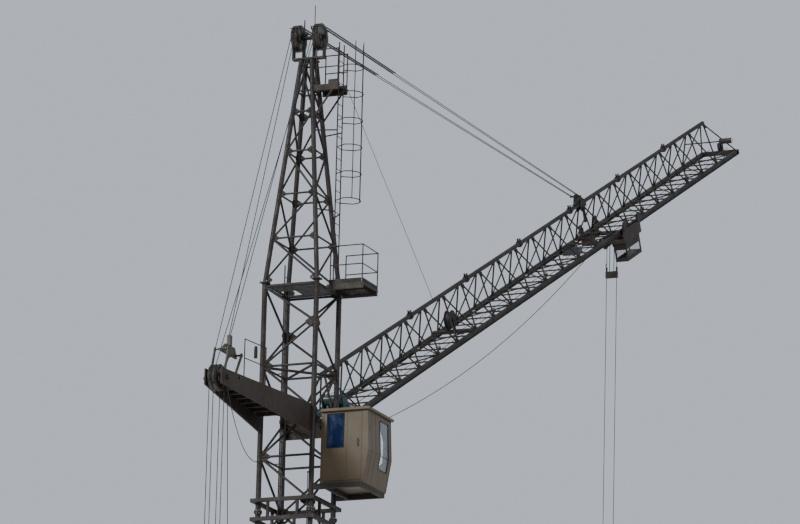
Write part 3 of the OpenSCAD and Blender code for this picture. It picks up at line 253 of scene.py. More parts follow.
def slab(bm, low, high, matrix=UPRIGHT, chamfer=0.0):
    """A rectangular block, its four upright edges cut back by a chamfer."""
    x0, y0, x1, y1, c = low[0], low[1], high[0], high[1], chamfer
    outline = [(x0 + c, y0), (x1 - c, y0), (x1, y0 + c), (x1, y1 - c), (x1 - c, y1), (x0 + c, y1),
               (x0, y1 - c), (x0, y0 + c)] if c else [(x0, y0), (x1, y0), (x1, y1), (x0, y1)]
    skin(bm, [[matrix @ Vector((x, y, z)) for x, y in outline] for z in (low[2], high[2])])


def plate(bm, corners, push):
    """A flat plate: its outline, drawn half the push to each side."""
    skin(bm, [[c - push / 2 for c in corners], [c + push / 2 for c in corners]])


def jib_plate(bm, u, y, outline, thick):
    """A plate that faces across the jib, its outline given along the jib from u and off the bottom chords."""
    plate(bm, [on_jib(u + a, y, w) for a, w in outline], LEFT * thick)


def grating(bm, x, stop, y0, y1, z):
    """Upright bars, 6 mm thick and 55 mm apart, that lie flush with a walking surface at height z."""
    while x < stop:
        slab(bm, (x - 0.003, y0, z - 0.03), (x + 0.003, y1, z + 0.001))
        x += 0.055


def bolt(bm, at, axis, across_flats=None, washer=True):
    """A hexagon head with its washer and the end of its thread."""
    r = (across_flats or sizes().bolt) / math.sqrt(3)
    axis = axis.normalized()
    side, up = across(axis)
    start = at
    if washer:
        turned(bm, at, axis, [(0, r * 1.25), (0.004, r * 1.25)], 12)
        start = at + axis * 0.004
    head = ((0, r), (r * 0.95, r), (r * 1.1, r * 0.86))
    skin(bm, [ring(start + axis * h, side, up, q, 6) for h, q in head])
    turned(bm, start + axis * r * 1.05, axis, [(0, r * 0.5), (r * 0.5, r * 0.5), (r * 0.6, r * 0.4)], 8)


def arc(centre, radius, first, last, steps=18):
    """Points on a circle in the crane's own upright plane, angles in degrees."""
    angles = (math.radians(first + (last - first) * i / steps) for i in range(steps + 1))
    return [centre + Vector((radius * math.cos(a), 0, radius * math.sin(a))) for a in angles]


def tangent(centre, far, difference, way):
    """Angle in degrees at which a rope leaves a sheave for a far one; difference is between their radii."""
    run = far - centre
    return math.degrees(math.atan2(run.z, run.x) + way * math.acos(difference / math.hypot(run.x, run.z)))


def groove_radius(diameter, width):
    """Radius from a sheave's axle to the middle of the rope in its groove."""
    return diameter / 2 - 0.32 * width + sizes().rope_d / 2 / math.sin(math.atan(0.5 / 0.32))


def sag(a, b, drop, steps):
    """Points of a cable that hangs between a and b."""
    shares = (i / steps for i in range(steps + 1))
    return [a.lerp(b, t) - UP * 4 * drop * t * (1 - t) for t in shares]


def piece(bm, name, finish, body, bevel=0.0, angle=35):
    """Makes the mesh one object with its finish, and lets it ride on its body."""
    bmesh.ops.recalc_face_normals(bm, faces=bm.faces[:])
    mesh = bpy.data.meshes.new(name)
    bm.to_mesh(mesh)
    bm.free()
    mesh.shade_smooth()
    mesh.set_sharp_from_angle(angle=math.radians(angle))
    mesh.materials.append(bpy.data.materials[finish])
    made = bpy.data.objects.new(name, mesh)
    bpy.context.scene.collection.objects.link(made)
    if bevel:
        edge = made.modifiers.new("Rounded edges", "BEVEL")
        edge.width = bevel
        edge.segments = 2
        edge.limit_method = "ANGLE"
        edge.angle_limit = math.radians(40)
    if body:
        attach(made, body)
    return made


# ---- finishes ----

BLEND = dict(out=2, data_type="RGBA")   # what makes a Mix node mix colours
WAVE = 1 / 3.2                          # scale of a wave texture with its bands 1 m apart


def shade(c, factor=1.0):
    """A colour, darker or lighter by a factor, as a node takes it."""
    return (*(min(1, v * factor) for v in c[:3]), 1)


def fill(node, **given):
    """Gives a node's settings and inputs, in the order given, a value or another node's socket.
    An input goes by its identifier, with _ for each space."""
    inputs = {socket.identifier.replace(" ", "_"): socket for socket in node.inputs}
    for key, value in given.items():
        if key not in inputs:
            setattr(node, key, value)
        elif isinstance(value, bpy.types.NodeSocket):
            node.id_data.links.new(value, inputs[key])
        else:
            inputs[key].default_value = value


def add(tree, kind, out=0, **given):
    """Adds a node with its settings and links, and gives back one of its outputs."""
    made = tree.nodes.new("ShaderNode" + kind)
    fill(made, **given)
    return made.outputs[out]


def blank(name):
    """A new material's node tree, its shader and the object's own coordinates."""
    material = bpy.data.materials.new(name)
    material.use_nodes = True
    tree = material.node_tree
    return tree, tree.nodes["Principled BSDF"], add(tree, "TexCoord", "Object")


def brushed_enamel(name, base, rust_share, gloss, streak=0.5):
    """Alkyd enamel brushed on rolled steel sections and left out for years.
    It gives a dull brown with metre-wide faded patches, rain streaks 90 mm wide and rust blooms of 50 mm."""
    tree, shader, place = blank(name)
    c = colours()
    rain = add(tree, "Mapping", Vector=place, Scale=(1, 1, 0.07))
    patches = add(tree, "TexNoise", Vector=place, Scale=1 / 0.9, Detail=4, Roughness=0.55)
    streaks = add(tree, "TexNoise", Vector=rain, Scale=1 / 0.09, Detail=3, Roughness=0.55)
    blooms = add(tree, "TexNoise", Vector=place, Scale=1 / 0.05, Detail=6, Roughness=0.7)
    broad = add(tree, "TexNoise", Vector=place, Scale=1 / 0.4, Detail=2, Roughness=0.55)
    strokes = add(tree, "TexNoise", Vector=place, Scale=1 / 0.006, Detail=2, Roughness=0.55)
    faded = add(tree, "MapRange", Value=patches, From_Min=0.3, From_Max=0.7)
    sooty = add(tree, "MapRange", Value=streaks, From_Min=0.42, From_Max=0.7, To_Max=streak)
    damp = add(tree, "MapRange", Value=broad, From_Min=0.35, From_Max=0.7, To_Max=0.22)
    spots = add(tree, "Math", Value=blooms, Value_001=damp, operation="ADD")
    rusty = add(tree, "MapRange", Value=spots, From_Min=0.78 - rust_share, From_Max=0.86 - rust_share)
    thin = add(tree, "MapRange", Value=blooms, From_Min=0.4, From_Max=0.8)
    rust = add(tree, "Mix", **BLEND, Factor_Float=thin, A_Color=shade(c.rust, 0.6), B_Color=shade(c.rust))
    body = add(tree, "Mix", **BLEND, Factor_Float=faded,
               A_Color=shade(base, 0.72), B_Color=shade(base, 1.3))
    body = add(tree, "Mix", **BLEND, Factor_Float=sooty, A_Color=body, B_Color=shade(c.soot))
    brushed = add(tree, "Bump", Height=strokes, Distance=0.0008, Strength=0.35)
    fill(
        shader,
        Base_Color=add(tree, "Mix", **BLEND, Factor_Float=rusty, A_Color=body, B_Color=rust),
        Roughness=add(tree, "MapRange", Value=spots, From_Min=0.4, From_Max=0.9, To_Min=gloss, To_Max=0.92),
        Normal=add(tree, "Bump", Height=rusty, Distance=0.0015, Strength=0.5, Normal=brushed),
        IOR=1.52,
        Specular_IOR_Level=0.35,
    )


def worn_steel(name, base, grease, rough):
    """Turned steel that runs against rope or rail.
    It gives bright bands with dark grease between them, and fine turning marks."""
    tree, shader, place = blank(name)
    smears = add(tree, "TexNoise", Vector=place, Scale=1 / 0.12, Detail=5, Roughness=0.65)
    pits = add(tree, "TexNoise", Vector=place, Scale=1 / 0.01, Detail=3, Roughness=0.55)
    greasy = add(tree, "MapRange", Value=smears, From_Min=0.62 - grease, From_Max=0.75 - grease)
    pitted = add(tree, "MapRange", Value=pits, From_Min=0.3, From_Max=0.7)
    body = add(tree, "Mix", **BLEND, Factor_Float=pitted,
               A_Color=shade(base, 0.75), B_Color=shade(base, 1.2))
    fill(
        shader,
        Base_Color=add(tree, "Mix", **BLEND, Factor_Float=greasy,
                       A_Color=body, B_Color=shade(colours().soot)),
        Roughness=add(tree, "MapRange", Value=greasy, To_Min=rough, To_Max=0.55),
        Metallic=add(tree, "MapRange", Value=greasy, To_Min=0.85, To_Max=0.25),
        Normal=add(tree, "Bump", Height=pits, Distance=0.0006, Strength=0.3),
    )


def wire_rope(name):
    """Greased six-strand wire rope, with painted shade between the strands and a painted highlight on their
    crowns.
    The strands lie 24 mm apart, too fine to show, so they are drawn 70 mm apart."""
    tree, shader, place = blank(name)
    c = colours()
    lay_and_painted_shade = add(tree, "TexWave", "Fac", Vector=place, Scale=WAVE / 0.07, Distortion=0.6, Detail=1,
              wave_type="BANDS", bands_direction="DIAGONAL", wave_profile="SIN")
    grease = add(tree, "TexNoise", Vector=place, Scale=1 / 0.5, Detail=4, Roughness=0.55)
    dull = add(tree, "MapRange", Value=grease, From_Min=0.5, From_Max=0.7, To_Max=0.6)
    # Painted shade in the grooves between strands and a painted highlight on their crowns, from the strand
    # pattern
    body = add(tree, "Mix", **BLEND, Factor_Float=lay_and_painted_shade,
               A_Color=shade(c.rope_steel, 0.55), B_Color=shade(c.rope_steel, 1.6))
    fill(
        shader,
        Base_Color=add(tree, "Mix", **BLEND, Factor_Float=dull, A_Color=body, B_Color=shade(c.soot)),
        Roughness=add(tree, "MapRange", Value=grease, From_Min=0.3, From_Max=0.7, To_Min=0.42, To_Max=0.6),
        Metallic=0.6,
        Normal=add(tree, "Bump", Height=lay_and_painted_shade, Distance=0.003, Strength=0.7),
    )


def cast_concrete(name):
    """Concrete cast in board forms.
    It gives 280 mm board marks, 8 mm air holes with painted shade in them, and rain stains that run down."""
    tree, shader, place = blank(name)
    base = colours().concrete
    rain = add(tree, "Mapping", Vector=place, Scale=(1, 1, 0.12))
    cloud = add(tree, "TexNoise", Vector=place, Scale=1 / 0.35, Detail=5, Roughness=0.55)
    stain = add(tree, "TexNoise", Vector=rain, Scale=1 / 0.12, Detail=4, Roughness=0.55)
    boards = add(tree, "TexWave", "Fac", Vector=place, Scale=WAVE / 0.28, Distortion=0.3,
                 bands_direction="Z", wave_profile="SAW")
    holes = add(tree, "TexVoronoi", "Distance", Vector=place, Scale=1 / 0.05)
    pale = add(tree, "MapRange", Value=cloud, From_Min=0.3, From_Max=0.7)
    stained = add(tree, "MapRange", Value=stain, From_Min=0.5, From_Max=0.75, To_Max=0.45)
    # Painted shade: the air holes are darkened towards their middles
    hole_painted_shade = add(tree, "MapRange", Value=holes, From_Min=0.03, From_Max=0.1, To_Min=0.6, To_Max=0)
    joint = add(tree, "MapRange", Value=boards, From_Min=0, From_Max=0.06)
    edge = add(tree, "MapRange", Value=holes, From_Min=0.02, From_Max=0.12)
    body = add(tree, "Mix", **BLEND, Factor_Float=pale,
               A_Color=shade(base, 0.75), B_Color=shade(base, 1.15))
    body = add(tree, "Mix", **BLEND, Factor_Float=stained, A_Color=body, B_Color=shade(base, 0.4))
    seams = add(tree, "Bump", Height=joint, Distance=0.004, Strength=0.5)
    fill(
        shader,
        Base_Color=add(tree, "Mix", **BLEND, Factor_Float=hole_painted_shade, A_Color=body, B_Color=shade(base, 0.3)),
        Roughness=add(tree, "MapRange", Value=cloud, From_Min=0.3, From_Max=0.7, To_Min=0.8, To_Max=0.95),
        Normal=add(tree, "Bump", Height=edge, Distance=0.004, Strength=0.4, Normal=seams),
    )


def chequer_plate(name, base):
    """Rolled steel deck plate.
    It gives bars in two directions on a 60 mm pitch, bright where boots wear them."""
    tree, shader, place = blank(name)
    pitch = 0.06
    one, two = [add(tree, "TexWave", "Fac", Vector=place, Scale=WAVE / pitch, bands_direction=way)
                for way in "XY"]
    field = add(tree, "TexChecker", "Fac", Vector=place, Scale=1 / pitch)
    crossed = add(tree, "Mix", **BLEND, Factor_Float=field, A_Color=one, B_Color=two)
    bars = add(tree, "MapRange", Value=crossed, From_Min=0.6, From_Max=0.8, To_Max=0.45)
    dirt = add(tree, "TexNoise", Vector=place, Scale=1 / 0.3, Detail=5, Roughness=0.55)
    clean = add(tree, "MapRange", Value=dirt, From_Min=0.35, From_Max=0.65)
    worn = add(tree, "Math", Value=bars, Value_001=dirt, operation="MULTIPLY")
    body = add(tree, "Mix", **BLEND, Factor_Float=clean, A_Color=shade(base, 0.6), B_Color=shade(base))
    fill(
        shader,
        Base_Color=add(tree, "Mix", **BLEND, Factor_Float=worn,
                       A_Color=body, B_Color=shade(colours().bare_steel)),
        Roughness=add(tree, "MapRange", Value=dirt, From_Min=0.3, From_Max=0.7, To_Min=0.5, To_Max=0.85),
        Normal=add(tree, "Bump", Height=bars, Distance=0.002, Strength=0.8),
    )


def sprayed_enamel(name, base, gloss):
    """Enamel sprayed on sheet steel.
    It gives a smooth face with chalky fading, dirt runs under edges and a few chips of 20 mm."""
    tree, shader, place = blank(name)
    c = colours()
    rain = add(tree, "Mapping", Vector=place, Scale=(1, 1, 0.08))
    chalk = add(tree, "TexNoise", Vector=place, Scale=1 / 0.6, Detail=3, Roughness=0.55)
    runs = add(tree, "TexNoise", Vector=rain, Scale=1 / 0.07, Detail=4, Roughness=0.55)
    chips = add(tree, "TexNoise", Vector=place, Scale=1 / 0.03, Detail=4, Roughness=0.6)
    waves = add(tree, "TexNoise", Vector=place, Scale=1 / 0.05, Detail=1, Roughness=0.55)
    faded = add(tree, "MapRange", Value=chalk, From_Min=0.3, From_Max=0.7)
    dirty = add(tree, "MapRange", Value=runs, From_Min=0.55, From_Max=0.85, To_Max=0.2)
    bare = add(tree, "MapRange", Value=chips, From_Min=0.71, From_Max=0.74)
    body = add(tree, "Mix", **BLEND, Factor_Float=faded,
               A_Color=shade(base, 0.84), B_Color=shade(base, 1.12))
    body = add(tree, "Mix", **BLEND, Factor_Float=dirty, A_Color=body, B_Color=shade(c.worn_enamel, 1.1))
    fill(
        shader,
        Base_Color=add(tree, "Mix", **BLEND, Factor_Float=bare, A_Color=body, B_Color=shade(c.rust)),
        Roughness=add(tree, "MapRange", Value=chalk, From_Min=0.3, From_Max=0.7, To_Min=gloss,
                      To_Max=gloss + 0.22),
        Normal=add(tree, "Bump", Height=waves, Distance=0.0006, Strength=0.25),
        IOR=1.52,
        Coat_Weight=0.12,
    )


def safety_glass(name, tint, clear):
    """Float glass in the cab.
    It gives a flat reflection with a film of dust that is thicker in 120 mm smears."""
    tree, shader, place = blank(name)
    tall = add(tree, "Mapping", Vector=place, Scale=(1, 1, 0.3))
    dust = add(tree, "TexNoise", Vector=tall, Scale=1 / 0.12, Detail=4, Roughness=0.55)
    film = add(tree, "MapRange", Value=dust, From_Min=0.5, From_Max=0.9, To_Max=0.16)
    fill(
        shader,
        Base_Color=add(tree, "Mix", **BLEND, Factor_Float=film,
                       A_Color=shade(tint), B_Color=shade(colours().clear_pane)),
        Roughness=add(tree, "MapRange", Value=dust, From_Min=0.3, From_Max=0.8, To_Min=0.04, To_Max=0.16),
        IOR=1.5,
        Transmission_Weight=clear,
        Specular_IOR_Level=0.6,
    )


def soft_black(name, base, spacing, rough):
    """Black rubber or vinyl: a fine leather-like grain and a low sheen that dust lightens."""
    tree, shader, place = blank(name)
    dust = add(tree, "TexNoise", Vector=place, Scale=1 / 0.15, Detail=4, Roughness=0.55)
    film = add(tree, "MapRange", Value=dust, From_Min=0.4, From_Max=0.75, To_Max=0.4)
    cells = add(tree, "TexVoronoi", "Distance", Vector=place, Scale=1 / spacing)
    fill(
        shader,
        Base_Color=add(tree, "Mix", **BLEND, Factor_Float=film,
                       A_Color=shade(base), B_Color=shade(base, 3)),
        Roughness=add(tree, "MapRange", Value=dust, From_Min=0.3, From_Max=0.7, To_Min=rough,
                      To_Max=rough + 0.2),
        Normal=add(tree, "Bump", Height=cells, Distance=0.0008, Strength=0.4),
    )


def hot_dip_zinc(name, base):
    """Galvanised fasteners: grey metal with 15 mm crystals, dulled by weather."""
    tree, shader, place = blank(name)
    crystals = add(tree, "TexVoronoi", "Color", Vector=place, Scale=1 / 0.015)
    cloud, weather = [add(tree, "TexNoise", Vector=place, Scale=1 / patch, Detail=3, Roughness=0.55)
                      for patch in (0.05, 0.04)]
    body = add(tree, "Mix", **BLEND, Factor_Float=cloud,
               A_Color=shade(base, 0.6), B_Color=shade(base, 1.2))
    fill(
        shader,
        Base_Color=add(tree, "Mix", **BLEND, Factor_Float=0.3,
                       A_Color=body, B_Color=crystals, blend_type="MULTIPLY"),
        Metallic=0.7,
        Roughness=add(tree, "MapRange", Value=weather, From_Min=0.3, From_Max=0.7, To_Min=0.4, To_Max=0.65),
    )


def pressed_lens(name, base):
    """Pressed lamp glass: pale, with 12 mm vertical flutes and painted shade in their troughs."""
    tree, shader, place = blank(name)
    flutes_and_painted_shade = add(tree, "TexWave", "Fac", Vector=place, Scale=WAVE / 0.012, bands_direction="Y")
    # Painted shade: the flute pattern darkens the glass in the flutes' troughs
    fill(
        shader,
        Base_Color=add(tree, "Mix", **BLEND, Factor_Float=flutes_and_painted_shade,
                       A_Color=shade(base, 0.7), B_Color=shade(base)),
        Roughness=add(tree, "MapRange", Value=flutes_and_painted_shade, To_Min=0.1, To_Max=0.25),
        Transmission_Weight=0.4,
        Normal=add(tree, "Bump", Height=flutes_and_painted_shade, Distance=0.002, Strength=0.6),
    )


def painted_screed(name, base):
    """Matt floor paint on screed, with very faint cloudy patches half a metre wide."""
    tree, shader, place = blank(name)
    cloud = add(tree, "TexNoise", Vector=place, Scale=1 / 0.5, Detail=4, Roughness=0.55)
    fill(
        shader,
        Base_Color=add(tree, "Mix", **BLEND, Factor_Float=cloud,
                       A_Color=shade(base, 0.94), B_Color=shade(base, 1.03)),
        Roughness=add(tree, "MapRange", Value=cloud, From_Min=0.3, From_Max=0.7, To_Min=0.75, To_Max=0.9),
    )


NODE_FINISHES = {
    "dark brown enamel": [
        "bogie_frames", "tower_right", "tower_front", "tower_left", "tower_rear", "tower_ladder",
        "head_right", "head_front", "head_left", "head_rear", "sheave_frame", "head_ladder", "ladder_hoops",
        "spacer_rail", "jib_top_chord", "stay_lug", "jib_left_side", "jib_right_side", "jib_end",
        "cable_drum", "basket", "limit_weight",
    ],
    "worn brown enamel": [
        "ring_frame", "corner_arms", "platform_beams", "tower_frames", "head_platform", "spacer_frame",
        "cab_carrier", "jib_brackets", "jib_bottom_frame", "trolley_frame", "hook_block",
    ],
    "deck chequer plate": ["platform_deck", "inner_platform", "mid_platform"],
    "greased turned steel": [
        "travel_wheels", "bearing_ring", "turning_ring", "lightning_rod", "trolley_wheels",
        "trolley_sheaves", "block_sheaves", "spacer_sheaves", "head_sheaves",
    ],
    "forged hook steel": ["hook"],
    "teal enamel": ["hoist_winch", "luffing_winch", "trolley_winch", "jib_box"],
    "khaki enamel": ["equalizer"],
    "beige cab enamel": ["cab_shell"],
    "tinted glass": ["cab_windows"],
    "greased wire rope": [
        "rear_ropes", "upper_falls", "hoist_ropes", "stay_heads", "stay_left", "stay_right",
    ],
    "cast concrete": ["ballast_blocks"],
}


class CRANE_OT_finishes(Operator):
    """Makes the finishes and gives every solid of the frame its own"""
    bl_idname = "crane.finishes"
    bl_label = "Finishes"

    def execute(self, context):
        c = colours()
        brushed_enamel("dark brown enamel", c.dark_enamel, 0.0, 0.5)
        brushed_enamel("worn brown enamel", c.worn_enamel, 0.08, 0.55, 0.6)
        worn_steel("greased turned steel", c.bare_steel, 0.14, 0.32)
        worn_steel("forged hook steel", shade(c.bare_steel, 0.6), 0.1, 0.5)
        sprayed_enamel("teal enamel", c.teal_enamel, 0.38)
        sprayed_enamel("khaki enamel", c.khaki_enamel, 0.5)
        sprayed_enamel("beige cab enamel", c.beige_enamel, 0.42)
        safety_glass("tinted glass", c.tinted_pane, 0.55)
        safety_glass("clear glass", c.clear_pane, 0.9)
        wire_rope("greased wire rope")
        cast_concrete("cast concrete")
        chequer_plate("deck chequer plate", c.worn_enamel)
        soft_black("black rubber", c.rubber, 0.004, 0.6)
        soft_black("seat vinyl", c.vinyl, 0.006, 0.5)
        hot_dip_zinc("galvanised bolts", c.zinc)
        pressed_lens("lamp lens", c.lamp)
        painted_screed("floor paint", c.floor)
        for finish, names in NODE_FINISHES.items():
            for name in names:
                mesh = frame["nodes"][name].data
                mesh.materials.clear()
                mesh.materials.append(bpy.data.materials[finish])
        return {"FINISHED"}


# ---- undercarriage and platform ----

class CRANE_OT_undercarriage(Operator):
    """Bearing bolts, arm ribs, pin caps and wheel caps"""
    bl_idname = "crane.undercarriage"
    bl_label = "Undercarriage pieces"

    def execute(self, context):
        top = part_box("ring_frame")[1].z
        bm = bmesh.new()
        circle, count = 1.32, 48
        for p in ring(UP * top, AHEAD, LEFT, circle, count, 0.5):
            bolt(bm, p, UP, 0.046)
        piece(bm, "ring_bolts", "galvanised bolts", "undercarriage")
        bm = bmesh.new()
        arm_root, arm_half, arm_z, arm_fall = 1.5, 0.2, 1.11, 0.03
        axle_x, face_y = 0.36, 0.14     # a wheel's axle and outer face, from its bogie's centre
        for sx in BOTH:
            for sy in BOTH:
                out = Vector((sx, sy, 0)).normalized()
                side = Vector((-out.y, out.x, 0))
                for e in BOTH:
                    plate(bm, [out * (arm_root + x) + side * e * arm_half + UP * z for x, z in
                               ((0.02, top - 0.02), (0.02, top), (0.5, top - 0.03), (0.5, top - 0.05))],
                          side * 0.02)
                for pin in (0.9, 1.7, 2.3):
                    c = out * (arm_root + pin) + UP * (arm_z - arm_fall * pin)
                    for e in BOTH:
                        turned(bm, c + side * e * arm_half, side * e,
                               [(0, 0.06), (0.012, 0.06), (0.016, 0.05)], 20)
                for e in BOTH:
                    for f in BOTH:
                        wheel = Vector((sx * BOGIE + e * axle_x, sy * BOGIE + f * face_y, WHEEL_Z))
                        turned(bm, wheel, LEFT * f, [(0, 0.085), (0.018, 0.085), (0.026, 0.07), (0.026, 0.03),
                                                     (0.034, 0.028)], 24)
                        for p in ring(wheel + LEFT * f * 0.018, AHEAD, UP, 0.068, 6):
                            bolt(bm, p, LEFT * f, 0.016, False)
        piece(bm, "bogie_caps", "greased turned steel", "undercarriage")
        return {"FINISHED"}


class CRANE_OT_platform(Operator):
    """Deck edges, deck bolts, cast blocks with lifting loops, and the winches' rope and fins"""
    bl_idname = "crane.platform"
    bl_label = "Platform pieces"

    def execute(self, context):
        low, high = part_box("platform_deck")
        edge_h, rib_h, rib_gap = 0.1, 0.06, 0.6
        bm = bmesh.new()
        for s in BOTH:
            y = s * (DECK_HALF - 0.004)
            slab(bm, (low.x, y - 0.004, high.z - 0.001), (high.x, y + 0.004, high.z + edge_h))
        slab(bm, (high.x - 0.008, -DECK_HALF, high.z), (high.x, DECK_HALF, high.z + edge_h))
        for i in range(11):
            x = low.x + 0.3 + i * rib_gap
            for y in (-1.24, 1.24):
                slab(bm, (x - 0.01, y - 0.05, high.z), (x + 0.01, y + 0.05, high.z + rib_h))
        piece(bm, "deck_edges", "worn brown enamel", "upperworks")
        bm = bmesh.new()
        circle, count = 1.14, 40
        for p in ring(UP * (low.z + 0.04), AHEAD, LEFT, circle, count):
            bolt(bm, p, UP, 0.04)
        piece(bm, "platform_bolts", "galvanised bolts", "upperworks")
        self.ballast()
        self.winches()
        return {"FINISHED"}

    def ballast(self):
        """Eight blocks in four rows, each with a lifting loop on two rods."""
        low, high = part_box("ballast_blocks")
        rows, gap = 4, 0.002
        rise = (high.z - low.z) / rows
        bm = bmesh.new()
        for i in range(rows):
            for s in BOTH:
                y0, y1 = sorted((s * 0.32, s * DECK_HALF))
                slab(bm, (low.x, y0, low.z + i * rise), (high.x, y1, low.z + (i + 1) * rise - gap))
        blocks = piece(bm, "ballast_castings", "cast concrete", "upperworks", bevel=0.018)
        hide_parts("ballast_blocks")
        bm = bmesh.new()
        for s in BOTH:
            for x in (low.x + 0.3, high.x - 0.3):
                y = s * 0.81 + 0.2
                rod(bm, Vector((x, y, low.z)), Vector((x, y, high.z - gap)), 0.016)
                for k in range(rows):
                    z = low.z + (k + 1) * rise - 0.09
                    loop = [Vector((x + 0.07 * math.cos(a), s * (DECK_HALF - 0.014), z + 0.05 * math.sin(a)))
                            for a in (math.pi * t / 8 for t in range(9))]
                    sweep(bm, loop, 0.009, 6)
        piece(bm, "lifting_loops", "galvanised bolts", "upperworks")

    def winches(self):
        """Rope wound on each drum, then the motor's fins, its terminal box and the base's bolts."""
        pitch, steps, rope_r, fins = 0.0225, 20, 0.0108, 13
        luffing_drum = 2 * groove_radius(*TAIL_GROOVE) - 0.022 - 0.0006
        for name, y, length, drum, rise in (("hoist", -0.26, 0.56, 0.36, 0.48),
                                            ("luffing", 0.0, 0.38, luffing_drum, 0.52)):
            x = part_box(name + "_winch")[0].x + 0.44
            z = DECK_Z + rise
            radius = drum / 2 + 0.009
            count = int(length / pitch) * steps
            bm = bmesh.new()
            angles = [math.tau * i / steps for i in range(count)]
            turns = [Vector((x + radius * math.cos(a), y - length / 2 + 0.03 + (length - 0.06) * i / count,
                             z + radius * math.sin(a))) for i, a in enumerate(angles)]
            sweep(bm, turns, rope_r, 6)
            piece(bm, name + "_rope_turns", "greased wire rope", "upperworks")
            bm = bmesh.new()
            motor = Vector((x + 0.72, y - 0.02, DECK_Z + 0.34))
            for i in range(fins):
                t = -length / 2 + 0.02 + i * (length - 0.04) / (fins - 1)
                turned(bm, motor + LEFT * (t - 0.006), LEFT, [(0, 0.158), (0.012, 0.158)], 28)
            slab(bm, motor + Vector((-0.07, -0.09, 0.14)), motor + Vector((0.07, 0.09, 0.19)))
            for dx in (-0.36, 0.9):
                for dy in (-0.3, 0.3):
                    bolt(bm, Vector((x + dx, y + dy, DECK_Z + 0.12)), UP)
            piece(bm, name + "_motor_fins", "teal enamel", "upperworks")


# ---- tower and head ----

def node_plate(bm, centre, out, up, reach, rise):
    """A six-cornered plate between the braces at a node."""
    shape = ((0.05, -rise), (reach * 0.55, -rise * 0.75), (reach, -rise * 0.2), (reach, rise * 0.2),
             (reach * 0.55, rise * 0.75), (0.05, rise))
    plate(bm, [centre + out * a + up * b for a, b in shape], out.cross(up).normalized() * sizes().plate_t)


